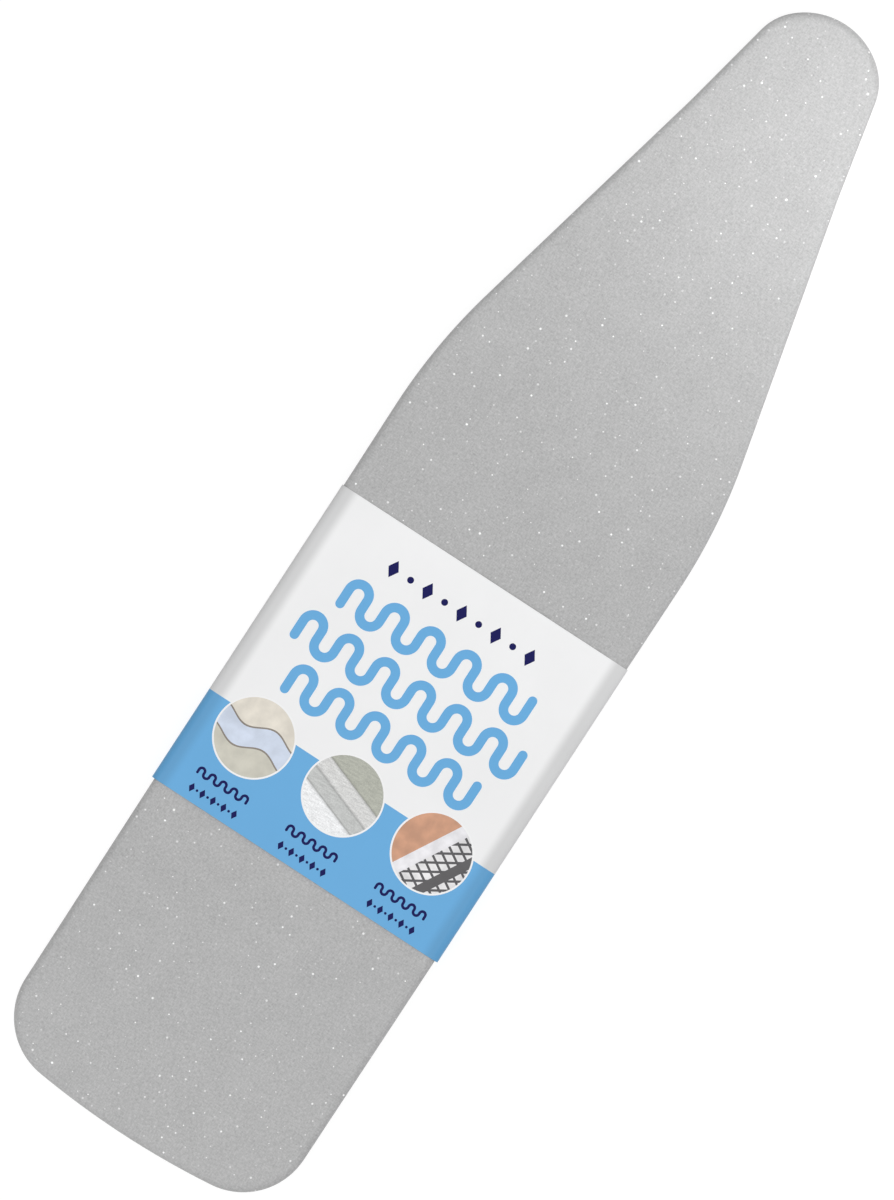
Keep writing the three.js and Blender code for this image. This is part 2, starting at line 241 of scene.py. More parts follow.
GROUPS = {
    "cover_plan": PlanSizes,
    "cover_cloth": ClothSizes,
    "cover_straps": StrapSizes,
    "cover_sleeve": SleeveSizes,
    "cover_colours": CoverColours,
    "cover_stage": StageSizes,
}


# Plan of the cover


def heading_of(start, end):
    """The angle of the line from start to end."""
    return math.atan2(end[1] - start[1], end[0] - start[0])


def rounded_end(tip_x, bow_radius, corner_radius, on_side, heading):
    """The angle that an end's bow turns through, and the point where its corner arc meets the side.
    The corner arc's centre lies its radius inside the side line, and the bow's radius less its own
    from the bow's centre, so that it touches both."""
    outward = math.copysign(1, tip_x)
    along = np.array([math.cos(heading), math.sin(heading)])
    inward = np.array([along[1], -along[0]])
    bow_centre = np.array([tip_x - outward * bow_radius, 0.0])
    offset = on_side + inward * corner_radius - bow_centre
    reach = math.sqrt((offset @ along) ** 2 - offset @ offset + (bow_radius - corner_radius) ** 2)
    towards = offset + along * (outward * reach - offset @ along)
    turn = math.atan2(towards[1], outward * towards[0])
    return turn, bow_centre + towards - inward * corner_radius


def plan_legs(sizes):
    """The left side of the plan from the middle of the tail to the tip of the nose, as the length of
    each arc or straight and the angle that it turns to the right."""
    half = sizes.cover_length / 2
    tail = np.array([-half, sizes.tail_half_width])
    shoulder = np.array([(sizes.shoulder_share - 0.5) * sizes.cover_length, sizes.shoulder_half_width])
    waist = np.array([(sizes.waist_share - 0.5) * sizes.cover_length, sizes.waist_half_width])
    nose = np.array([half, sizes.nose_half_width])
    side, taper, tip = heading_of(tail, shoulder), heading_of(shoulder, waist), heading_of(waist, nose)
    tail_turn, side_start = rounded_end(-half, sizes.tail_bow_radius, sizes.tail_corner_radius, tail, side)
    nose_turn, side_end = rounded_end(half, sizes.nose_bow_radius, sizes.nose_corner_radius, nose, tip)
    shoulder_reach = sizes.shoulder_radius * math.tan(abs(side - taper) / 2)
    waist_reach = sizes.waist_radius * math.tan(abs(taper - tip) / 2)
    turns = [tail_turn, QUARTER - tail_turn - side, 0, side - taper, 0, taper - tip, 0,
             tip + QUARTER - nose_turn, nose_turn]
    radii = [sizes.tail_bow_radius, sizes.tail_corner_radius, 0, sizes.shoulder_radius, 0,
             sizes.waist_radius, 0, sizes.nose_corner_radius, sizes.nose_bow_radius]
    lengths = np.abs(np.array(turns) * np.array(radii))
    lengths[2] = np.linalg.norm(shoulder - side_start) - shoulder_reach
    lengths[4] = np.linalg.norm(waist - shoulder) - shoulder_reach - waist_reach
    lengths[6] = np.linalg.norm(side_end - waist) - waist_reach
    return lengths, np.array(turns)


def steady_path(lengths, turns, start, heading, count):
    """A path whose heading turns at a steady rate along each arc and holds along each straight, as
    points at count equal steps with their headings, and its length. The points are the sum of short
    steps, each along the heading at its middle."""
    breaks = np.concatenate([[0], np.cumsum(lengths)])
    headings = heading + np.concatenate([[0], np.cumsum(turns)])
    fine = np.linspace(0, breaks[-1], count * PATH_FINENESS + 1)
    step = np.interp((fine[1:] + fine[:-1]) / 2, breaks, headings)
    walk = np.cumsum(np.stack([np.cos(step), np.sin(step)], 1), axis=0) * fine[1]
    points = np.concatenate([[[0, 0]], walk])[::PATH_FINENESS] + start
    return points, np.interp(fine[::PATH_FINENESS], breaks, headings), breaks[-1]


class Plan:
    """A ring of places round the cover, anticlockwise from the middle of the tail, with their outward
    normals, the way along the ring, the run from the start and the curl, which is one over the radius.
    The left side is a steady path, and the right side is its mirror image."""

    def __init__(self, sizes, count):
        lengths, turns = plan_legs(sizes)
        start = (-sizes.cover_length / 2, 0)
        left, heading, side_length = steady_path(lengths, -turns, start, QUARTER, count // 2)
        left_out = np.stack([-np.sin(heading), np.cos(heading)], 1)
        left[[0, -1], 1] = 0
        over = np.array([1, -1])
        self.place = np.concatenate([left * over, left[-2:0:-1]])
        self.out = np.concatenate([left_out * over, left_out[-2:0:-1]])
        self.along = np.stack([-self.out[:, 1], self.out[:, 0]], 1)
        self.total = 2 * side_length
        self.run = np.arange(count) * self.total / count
        curl = -np.gradient(heading, self.total / count)
        self.curl = np.concatenate([curl, curl[-2:0:-1]])

    def every(self, stride):
        """The same ring with only every so many places."""
        fewer = object.__new__(Plan)
        fewer.total = self.total
        for name in ("place", "out", "along", "run", "curl"):
            setattr(fewer, name, getattr(self, name)[::stride])
        return fewer

    def ring(self, inset, level, slide=0):
        """Points of the plan drawn in by inset, at a level, and moved along the ring by slide. Each of
        the three is one number, one for each place, or a column of them for several rings."""
        inset, level, slide = np.broadcast_arrays(*np.atleast_1d(inset, level, slide))
        flat = self.place - self.out * inset[..., None] + self.along * slide[..., None]
        return np.concatenate([flat, np.broadcast_to(level[..., None], flat.shape[:-1] + (1,))], -1)

    def half_width_at(self, x, inset=0.0):
        """Half the width of the plan, drawn in by inset, at x."""
        ring = (self.place - self.out * inset)[: len(self.place) // 2 + 1]
        return float(np.interp(x, ring[:, 0], -ring[:, 1]))


def wander(run, total, pitch, seed):
    """A smooth uneven line round a ring, mostly between -1 and 1: the sum of six sine waves, each of
    which goes a whole number of times into the ring, at about the pitch, with seeded phases."""
    dice = np.random.default_rng(seed)
    turns = np.rint(total / pitch * dice.uniform(0.55, 1.6, 6))
    phases = dice.uniform(0, FULL, 6)
    return np.sin(FULL * np.multiply.outer(run / total, turns) + phases).sum(-1) / 3


def middle_and_half(low, high):
    """The middle of a span, and half its width."""
    return (low + high) / 2, (high - low) / 2


def unit(rows):
    """Rows of vectors made one long."""
    return rows / np.linalg.norm(rows, axis=-1, keepdims=True)


def ease(value, low, high):
    """0 below low, 1 above high, and a smooth rise between them."""
    t = np.clip((value - low) / (high - low), 0, 1)
    return t * t * (3 - 2 * t)


def squarer(angle):
    """The rounded edge of the cover as a factor on its radius at an angle: the cubes of its two
    coordinates add up to the radius cubed, so that the padded top stays flat for longer than a quarter
    round and then turns down quickly."""
    return (np.abs(np.cos(angle)) ** 3 + np.abs(np.sin(angle)) ** 3) ** (-1 / 3)


# Building meshes


def grid_faces(points, closed_across=False):
    """Quads of a grid of point numbers. Rows run along the first axis, and closed_across joins the
    last column to the first."""
    if closed_across:
        points = np.concatenate([points, points[:, :1]], 1)
    return np.stack([points[:-1, :-1], points[1:, :-1], points[1:, 1:], points[:-1, 1:]], -1).reshape(-1, 4)


def new_piece(name, vertices, faces, finishes, face_finish=None, smooth=True, place=None):
    """Links a mesh piece at the origin. Faces are arrays of quads or triangles. Place, where it is
    given, is stored as the point attribute cloth_place, for patterns that follow the surface."""
    mesh = bpy.data.meshes.new(name)
    mesh.from_pydata(np.asarray(vertices, float).tolist(), [], [f for block in faces for f in block.tolist()])
    for finish in finishes:
        mesh.materials.append(finish)
    if face_finish is not None:
        mesh.polygons.foreach_set("material_index", np.asarray(face_finish, np.int32))
    mesh.polygons.foreach_set("use_smooth", np.full(len(mesh.polygons), smooth))
    if place is not None:
        attribute = mesh.attributes.new("cloth_place", "FLOAT_VECTOR", "POINT")
        attribute.data.foreach_set("vector", np.asarray(place, np.float32).ravel())
    mesh.validate()
    mesh.update()
    piece = bpy.data.objects.new(name, mesh)
    bpy.context.scene.collection.objects.link(piece)
    return piece


def grid_piece(name, grids, finishes, **settings):
    """A piece of one or more grids, each given as its x, y and z, or as arrays that spread to them."""
    points, faces, start = [], [], 0
    for x, y, z in (np.broadcast_arrays(*grid) for grid in grids):
        points.append(np.stack([x, y, z], -1).reshape(-1, 3))
        faces.append(grid_faces(start + np.arange(x.size).reshape(x.shape)))
        start += x.size
    return new_piece(name, np.concatenate(points), faces, finishes, **settings)


def thicken(piece, thickness):
    """Gives an open surface its thickness, to the back of its faces, and gives the modifier."""
    wall = piece.modifiers.new("Wall", "SOLIDIFY")
    wall.thickness = thickness
    wall.offset = -1
    wall.use_even_offset = False
    return wall


class Loft:
    """Rings of points and the faces between them, gathered as arrays. A ring may have twice the places
    of the one before it."""

    def __init__(self):
        self.points, self.places, self.faces, self.count = [], [], [], 0

    def add(self, points, places=None):
        """Adds points and gives their numbers, in the shape of the array."""
        shape = points.shape[:-1]
        numbers = self.count + np.arange(np.prod(shape)).reshape(shape)
        self.points.append(points.reshape(-1, 3))
        if places is not None:
            self.places.append(places.reshape(-1, 3))
        self.count += numbers.size
        return numbers

    def join(self, upper, lower):
        """Faces from one ring of numbers to the next. Where the lower ring has twice as many, each
        quad becomes three triangles."""
        after = np.roll(upper, -1)
        if len(upper) == len(lower):
            self.faces.append(np.stack([upper, lower, np.roll(lower, -1), after], 1))
            return
        first, middle, last = lower[0::2], lower[1::2], np.roll(lower[0::2], -1)
        self.faces += [
            np.stack([upper, first, middle], 1),
            np.stack([upper, middle, after], 1),
            np.stack([middle, last, after], 1),
        ]

    def join_all(self, rings):
        """Faces from each ring of numbers to the next."""
        for upper, lower in zip(rings[:-1], rings[1:]):
            self.join(upper, lower)

    def tube(self, points, places=None):
        """Adds rings that close on each other, the last on the first."""
        numbers = [*self.add(points, places)]
        self.join_all([*numbers, numbers[0]])

    def lid(self, ring, corners, across, facing=1, height=None):
        """Closes a ring of numbers whose points are corners with lines across the cover, each cut into
        so many steps. Height gives the rise of the points between, from x, y and the share of the way
        across."""
        half = len(ring) // 2
        right, left = corners[1:half], corners[: half : -1]
        steps = np.linspace(0, 1, across + 1)[1:-1]
        inner = right[:, None] + (left - right)[:, None] * steps[None, :, None]
        if height is not None:
            inner[..., 2] += height(inner[..., 0], inner[..., 1], steps[None, :])
        numbers = self.add(inner, inner if self.places else None)
        lines = np.concatenate([ring[1:half, None], numbers, ring[: half : -1, None]], 1)
        quads = grid_faces(lines)
        tail = np.stack([np.full(across, ring[0]), lines[0, :-1], lines[0, 1:]], 1)
        nose = np.stack([lines[-1, :-1], np.full(across, ring[half]), lines[-1, 1:]], 1)
        self.faces += [faces if facing > 0 else faces[:, ::-1] for faces in (quads, tail, nose)]

    def piece(self, name, finishes):
        """The piece with all that was added."""
        places = np.concatenate(self.places) if self.places else None
        return new_piece(name, np.concatenate(self.points), self.faces, finishes, place=places)


# Finishes


# The width of a cell that may hold one bright flake, and the share of cells whose flake shows.
FLAKE_CELL = 0.0125
FLAKE_SHARE = 0.42

# Most of a noise lies between these two values.
NOISE_LOW = 0.3
NOISE_HIGH = 0.7

# How far inside the sleeve's sides the card's painted shade begins, darkening towards its folds, and where it
# is darkest.
PAINTED_SHADE_START = 0.0225
PAINTED_SHADE_END = 0.0105


def put(tree, socket, value):
    """Sets a socket, or links it where the value is a node or a node's output."""
    if isinstance(value, bpy.types.Node):
        value = value.outputs[0]
    if isinstance(value, bpy.types.NodeSocket):
        tree.links.new(value, socket)
    else:
        socket.default_value = value


def add_node(tree, kind, inputs=(), **settings):
    """A shader node with its settings, and its inputs in order or by name."""
    made = tree.nodes.new("ShaderNode" + kind)
    for name, value in settings.items():
        setattr(made, name, value)
    pairs = inputs.items() if isinstance(inputs, dict) else enumerate(inputs)
    for key, value in pairs:
        put(tree, made.inputs[key], value)
    return made


def opaque(shade):
    """A colour as four numbers. A node's output stays as it is."""
    return (*shade, 1) if isinstance(shade, tuple) else shade


class Finish:
    """One procedural material, with short ways to add and join its nodes."""

    def __init__(self, name, base, roughness, **sockets):
        self.base = tuple(base)
        self.material = bpy.data.materials.new(name)
        self.material.use_nodes = True
        self.tree = self.material.node_tree
        self.shader = next(n for n in self.tree.nodes if n.type == "BSDF_PRINCIPLED")
        self.material.diffuse_color = opaque(self.base)
        self.set("Base Color", opaque(self.base))
        self.set("Roughness", roughness)
        for socket, value in sockets.items():
            self.set(socket.replace("_", " "), value)

    def set(self, name, value):
        """Sets a socket of the shader, whatever the case of its name."""
        put(self.tree, next(s for s in self.shader.inputs if s.name.lower() == name.lower()), value)

    def node(self, kind, inputs=(), **settings):
        """A node with its settings, and its inputs in order or by name."""
        return add_node(self.tree, kind, inputs, **settings)

    def math(self, operation, *values, clamp=False):
        """A number worked out from others."""
        return self.node("Math", values, operation=operation, use_clamp=clamp).outputs[0]

    def plus(self, first, second):
        """The sum of two numbers."""
        return self.math("ADD", first, second)

    def times(self, first, second):
        """The product of two numbers."""
        return self.math("MULTIPLY", first, second)

    def wave(self, value, turn):
        """The sine of a value times a turn."""
        return self.math("SINE", self.times(value, turn))

    def gap(self, value, level):
        """How far a value is from a level."""
        return self.math("ABSOLUTE", self.math("SUBTRACT", value, level))

    def ramp(self, value, low, high, to_low=0.0, to_high=1.0):
        """A steady change from to_low to to_high as value goes from low to high."""
        return self.node("MapRange", [value, low, high, to_low, to_high]).outputs[0]

    def vary(self, noise, to_low, to_high):
        """A steady change from to_low to to_high over what most of a noise spans."""
        return self.ramp(noise, NOISE_LOW, NOISE_HIGH, to_low, to_high)

    def mix(self, factor, first, second):
        """A colour between two others."""
        inputs = {0: factor, 6: opaque(first), 7: opaque(second)}
        return self.node("Mix", inputs, data_type="RGBA").outputs[2]

    def split(self, value, edge, below, above):
        """One colour where a value is up to an edge, and another above it."""
        return self.mix(self.math("GREATER_THAN", value, edge), below, above)

    def line(self, value, level, half_width, under, ink):
        """A line of ink where a value is near a level, on another colour."""
        return self.mix(self.math("LESS_THAN", self.gap(value, level), half_width), under, ink)

    def tint(self, base, factor):
        """A colour made lighter or darker by a factor."""
        return self.node("HueSaturation", {"Color": opaque(base), "Value": factor}).outputs[0]

    def shade(self, factor, base=None):
        """Colours the shader with its base, or with another colour, made lighter or darker."""
        self.set("Base Color", self.tint(self.base if base is None else base, factor))

    def noise(self, place, pitch, detail=2.0, flat=False, distortion=0.0, roughness=0.5):
        """Noise whose blots are about one pitch across."""
        inputs = {"Vector": place, "Scale": 1 / pitch, "Detail": detail, "Distortion": distortion}
        inputs["Roughness"] = roughness
        return self.node("TexNoise", inputs, noise_dimensions="2D" if flat else "3D").outputs[0]

    def bump(self, height, depth, strength, after=None):
        """A bump of a depth in metres, on top of another where one is given."""
        inputs = {"Strength": strength, "Distance": depth, "Height": height}
        if after is not None:
            inputs["Normal"] = after
        return self.node("Bump", inputs).outputs[0]

    def grained(self, grain, to_low, to_high, depth, strength):
        """Shades the base by a grain and raises the grain as a bump. Gives the finished material."""
        self.shade(self.vary(grain, to_low, to_high))
        self.set("Normal", self.bump(grain, depth, strength))
        return self.material

    def object_place(self):
        """The place in the object, in metres."""
        return self.node("TexCoord").outputs["Object"]

    def cloth_place(self):
        """The place along the piece's own surface."""
        return self.node("Attribute", attribute_name="cloth_place").outputs["Vector"]

    def drawn_out(self, place, x=1.0, y=1.0):
        """A place whose x and y are multiplied. A factor below one draws a pattern out along it."""
        return self.node("Mapping", {"Vector": place, "Scale": (x, y, 1.0)})

    def parts_of(self, vector):
        """The three numbers of a vector."""
        return self.node("SeparateXYZ", [vector]).outputs

    def plain_weave(self, place, pitch):
        """Height of a plain weave: warp and weft threads as rounded ribs that take turns on top."""
        x, y, _ = self.parts_of(place)
        return self.math("ABSOLUTE", self.times(self.wave(x, math.pi / pitch), self.wave(y, math.pi / pitch)))


def flakes(finish, place):
    """How much of a bright flake shows at a place. Each cell of a Voronoi pattern has dice for the size
    of its round flake, for whether it shows, and for how bright it is."""
    cells = finish.node("TexVoronoi", {"Vector": place, "Scale": 1 / FLAKE_CELL}, voronoi_dimensions="2D")
    dice = finish.node("SeparateColor", [cells.outputs["Color"]]).outputs
    size = finish.ramp(finish.math("POWER", dice[0], 2.0), 0.0, 1.0, 0.045, 0.115)
    from_middle = finish.math("DIVIDE", cells.outputs["Distance"], size)
    inside = finish.math("SUBTRACT", 1.0, from_middle, clamp=True)
    shown = finish.math("LESS_THAN", dice[1], FLAKE_SHARE)
    bright = finish.ramp(finish.math("POWER", dice[2], 1.6), 0.0, 1.0, 0.25, 1.0)
    return finish.times(finish.math("MULTIPLY", inside, 4.5, clamp=True), finish.times(shown, bright))


def silver_finish(colours):
    """Silver coated cotton: fine uneven grain, a soft mottle, and sparse bright flakes, on a faint weave."""
    sheen = {"Sheen_Weight": 0.08, "Sheen_Roughness": 0.5}
    finish = Finish("silver_coated_cotton", colours.silver, 0.5, Metallic=0.12, **sheen)
    place = finish.cloth_place()
    grain = finish.noise(place, 0.0020, 3, flat=True, roughness=0.6)
    warp = finish.noise(finish.drawn_out(place, x=0.30), 0.0015, 2, flat=True)
    weft = finish.noise(finish.drawn_out(place, y=0.30), 0.0015, 2, flat=True)
    fibre = finish.noise(place, 0.0044, 4, flat=True, distortion=2.6, roughness=0.7)
    mottle = finish.noise(place, 0.030, 3, flat=True)
    cloud = finish.noise(place, 0.21, 2, flat=True)
    level = 1.0
    for noise, depth in (
        (grain, 0.085), (warp, 0.07), (weft, 0.07), (fibre, 0.075), (mottle, 0.024), (cloud, 0.018)
    ):
        level = finish.plus(level, finish.vary(noise, -depth, depth))
    cloth = finish.tint(finish.base, level)
    finish.set("Base Color", finish.mix(flakes(finish, place), cloth, tuple(colours.speck)))
    finish.set("Roughness", finish.vary(grain, 0.44, 0.58))
    weave = finish.plain_weave(place, 0.00055)
    finish.set("Normal", finish.bump(weave, 0.00005, 0.4, finish.bump(grain, 0.00016, 0.55)))
    return finish.material


def lining_finish(colours):
    """The uncoated back of the sheet: plain cotton."""
    finish = Finish("cotton_back", colours.lining, 0.9, Sheen_Weight=0.2, Sheen_Roughness=0.5)
    return finish.grained(finish.noise(finish.object_place(), 0.0016, 4), 0.90, 1.08, 0.0002, 0.5)


def binding_finish(colours):
    """Cotton binding: a plain weave with worn highs."""
    finish = Finish("cotton_binding", colours.binding, 0.85, Sheen_Weight=0.25, Sheen_Roughness=0.45)
    place = finish.object_place()
    grain = finish.noise(place, 0.0012, 4)
    weave = finish.noise(place, 0.00045, 1)
    finish.shade(finish.vary(grain, 0.86, 1.12))
    finish.set("Normal", finish.bump(weave, 0.00012, 0.6, finish.bump(grain, 0.0002, 0.5)))
    return finish.material


def thread_finish(colours):
    """Twisted sewing thread."""
    finish = Finish("sewing_thread", colours.thread, 0.6, Sheen_Weight=0.3)
    finish.shade(finish.vary(finish.noise(finish.object_place(), 0.0003, 2), 0.82, 1.15))
    return finish.material


def foam_finish(colours):
    """Open cell foam: small dark pores in a pale, slightly yellowed body."""
    finish = Finish("open_cell_foam", colours.foam, 0.95)
    place = finish.object_place()
    cells = finish.node("TexVoronoi", {"Vector": place, "Scale": 1 / 0.0013}).outputs["Distance"]
    clouds = finish.vary(finish.noise(place, 0.03, 3), 0.94, 1.05)
    finish.shade(finish.times(finish.ramp(cells, 0.0, 0.75, 0.62, 1.05), clouds))
    finish.set("Normal", finish.bump(cells, 0.0005, 0.9))
    return finish.material


def felt_finish(colours):
    """Needled felt: matted fibres of slightly different greys, with needle marks in rows."""
    finish = Finish("needled_felt", colours.felt, 1.0, Sheen_Weight=0.35, Sheen_Roughness=0.7)
    place = finish.object_place()
    fibres = finish.noise(place, 0.0026, 6, distortion=3.0, roughness=0.72)
    matting = finish.noise(place, 0.013, 4, distortion=1.0)
    clouds = finish.noise(place, 0.09, 3)
    x, y, _ = finish.parts_of(place)
    marks = finish.times(finish.wave(y, FULL / 0.0042), finish.wave(x, FULL / 0.0031))
    needle = finish.ramp(marks, 0.55, 1.0)
    level = finish.times(finish.vary(fibres, 0.80, 1.18), finish.vary(matting, 0.93, 1.07))
    level = finish.times(level, finish.vary(clouds, 0.96, 1.04))
    finish.shade(finish.math("SUBTRACT", level, finish.times(needle, 0.12)))
    dents = finish.math("SUBTRACT", fibres, finish.times(needle, 0.5))
    finish.set("Normal", finish.bump(dents, 0.0006, 0.8))
    return finish.material


def tape_finish(colours):
    """Woven tape: ribs across and a fine weave, on the tape's own length and width."""
    finish = Finish("woven_tape", colours.tape, 0.75, Sheen_Weight=0.3, Sheen_Roughness=0.4)
    place = finish.cloth_place()
    weave = finish.plain_weave(place, 0.00075)
    ribs = finish.math("ABSOLUTE", finish.wave(finish.parts_of(place)[1], math.pi / 0.0015))
    wear = finish.vary(finish.noise(place, 0.011, 4), 0.97, 1.03)
    finish.shade(finish.times(finish.ramp(weave, 0.0, 1.0, 0.86, 1.03), wear))
    finish.set("Normal", finish.bump(weave, 0.00022, 0.8, finish.bump(ribs, 0.0001, 0.5)))
    return finish.material


def hook_finish(colours):
    """Moulded nylon hooks: slightly clear and shiny."""
    finish = Finish("hook_tape", colours.hooks, 0.38, Subsurface_Weight=0.1, Specular_IOR_Level=0.5)
    return finish.grained(finish.noise(finish.object_place(), 0.0011, 3), 0.93, 1.05, 0.00006, 0.4)


def loop_finish(colours):
    """Brushed loops: a deep tangle of fine threads."""
    finish = Finish("loop_tape", colours.loops, 1.0, Sheen_Weight=0.6, Sheen_Roughness=0.6)
    tangle = finish.noise(finish.object_place(), 0.0013, 6, distortion=4.0, roughness=0.75)
    return finish.grained(tangle, 0.78, 1.1, 0.0006, 0.9)


def elastic_finish(colours):
    """Braided elastic: strands that cross, along the cord's own length and girth."""
    finish = Finish("braided_elastic", colours.elastic, 0.7, Sheen_Weight=0.2)
    braid = finish.plain_weave(finish.cloth_place(), 0.0011)
    finish.shade(finish.ramp(braid, 0.0, 1.0, 0.72, 1.05))
    finish.set("Normal", finish.bump(braid, 0.00025, 0.9))
    return finish.material


def glue_finish(colours):
    """Dried glue: slightly clear, with small bubbles."""
    finish = Finish("dried_glue", colours.glue, 0.35, Subsurface_Weight=0.1)
    return finish.grained(finish.noise(finish.object_place(), 0.0022, 3), 0.9, 1.06, 0.0003, 0.5)


def card_finish(name, base, gloss, specular=0.25, painted_fold_shade=0.80):
    """Coated card or its back: faint clouds and a fine tooth, under a thin gloss. Painted shade darkens it
    towards the folds along its two sides, where the card bends down over the cover's edge."""
    finish = Finish(name, base, 0.5, Coat_Weight=gloss, Coat_Roughness=0.28, Specular_IOR_Level=specular)
    place = finish.object_place()
    tooth = finish.noise(place, 0.0007, 3)
    cloud = finish.noise(place, 0.06, 3)
    side = finish.math("ABSOLUTE", finish.parts_of(place)[1])
    span = [SLEEVE_HIGH.y - PAINTED_SHADE_START, SLEEVE_HIGH.y - PAINTED_SHADE_END]
    # Painted shade: the colour darkens towards the sleeve's two sides, standing in for the shading over the
    # card's bend.
    fold = finish.node("MapRange", [side, *span, 1.0, painted_fold_shade], interpolation_type="SMOOTHSTEP")
    finish.shade(finish.times(finish.vary(cloud, 0.985, 1.012), fold))
    finish.set("Roughness", finish.vary(tooth, 0.44, 0.56))
    finish.set("Normal", finish.bump(tooth, 0.00002, 0.35, finish.bump(cloud, 0.0006, 0.25)))
    return finish.material


def sample_finish(name, base, roughness):
    """The printed finish of a sample, still without its pattern, and the place on it in disc radii."""
    finish = Finish(name, (base, base, base), roughness, Coat_Weight=0.25, Coat_Roughness=0.3)
    place = finish.cloth_place()
    x, y, _ = finish.parts_of(place)
    return finish, place, x, y


def wave_sample():
    """A sample with three plain bands of cream, pale blue and sand, parted by soft waves."""
    finish, place, x, y = sample_finish("sample_waves", 0.75, 0.45)
    height = finish.plus(x, finish.times(finish.wave(y, 4.2), 0.13))
    low, high = -0.30, 0.28
    shade = finish.split(height, low, (0.56, 0.54, 0.46), (0.60, 0.67, 0.80))
    shade = finish.split(height, high, shade, (0.74, 0.69, 0.60))
    for level in (low, high):
        shade = finish.line(height, level, 0.022, shade, (0.20, 0.17, 0.14))
    finish.shade(finish.vary(finish.noise(place, 0.5, 4, flat=True), 0.88, 1.1), shade)
    return finish.material


def layer_sample():
    """A sample with the layers of a pad in section: speckled grey bands over a white one."""
    finish, place, x, y = sample_finish("sample_layers", 0.6, 0.5)
    height = finish.plus(finish.times(x, 0.94), finish.times(y, -0.34))
    speckle = finish.noise(place, 0.035, 4, flat=True)
    layers = finish.noise(finish.drawn_out(place, y=0.22), 0.05, 3, flat=True)
    level = finish.times(finish.vary(speckle, 0.88, 1.12), finish.vary(layers, 0.88, 1.1))
    shade = (0.86, 0.87, 0.88)
    for start, band in ((-0.46, (0.52, 0.53, 0.52)), (-0.08, (0.66, 0.66, 0.65)), (0.34, (0.41, 0.42, 0.36))):
        shade = finish.split(height, start, shade, band)
        level = finish.times(level, finish.ramp(finish.gap(height, start), 0.0, 0.05, 0.62, 1.0))
    finish.shade(level, shade)
    return finish.material


def lattice_sample():
    """A sample with a charcoal lattice on near white, and one plain band each of tan and charcoal."""
    finish, place, x, y = sample_finish("sample_lattice", 0.6, 0.5)
    shade = (0.78, 0.77, 0.78)
    for slope in (0.62, -0.62):
        across = finish.wave(finish.plus(x, finish.times(y, slope)), math.pi / 0.27)
        bar = finish.math("LESS_THAN", finish.math("ABSOLUTE", across), 0.40)
        shade = finish.mix(bar, shade, (0.045, 0.043, 0.048))
    tilt = finish.plus(finish.times(x, 0.5), finish.times(y, 0.87))
    shade = finish.split(tilt, 0.24, shade, (0.58, 0.29, 0.17))
    shade = finish.line(tilt, 0.10, 0.15, shade, (0.80, 0.79, 0.82))
    shade = finish.line(tilt, -0.66, 0.12, shade, (0.055, 0.052, 0.056))
    finish.shade(finish.vary(finish.noise(place, 0.4, 3, flat=True), 0.86, 1.12), shade)
    return finish.material


# The sheet with its gathered skirt


# How many steps the flat faces take from side to side.
SHEET_STEPS = 16
PAD_STEPS = 14
FELT_STEPS = 40

# Where the gathers rise: from this far before the side's end to this far before the lip's start. Their
# second wave rises from this far past the bend. The casing nips them flat from before its lip to past it.
RISE_START = 0.004
RISE_END = 0.006
SECOND_WAVE_START = 0.008
NIP_START = 0.004
NIP_END = 0.0035

# For how many frames the skirt settles as cloth, and how far a point may move. Its pins ease off from
# this far before the side's end, and grow again from this far before the lip's start.
SETTLE_FRAMES = 12
SETTLE_REACH = 0.0016
SIDE_PIN = 0.002
LIP_PIN = 0.0025
SKIRT_CLOTH = {
    "quality": 5,
    "mass": 0.12,
    "tension_stiffness": 12,
    "compression_stiffness": 12,
    "shear_stiffness": 4,
    "bending_stiffness": 0.35,
    "air_damping": 2,
    "vertex_group_mass": "held",
    "pin_stiffness": 1,
    "shrink_min": -0.06,
}


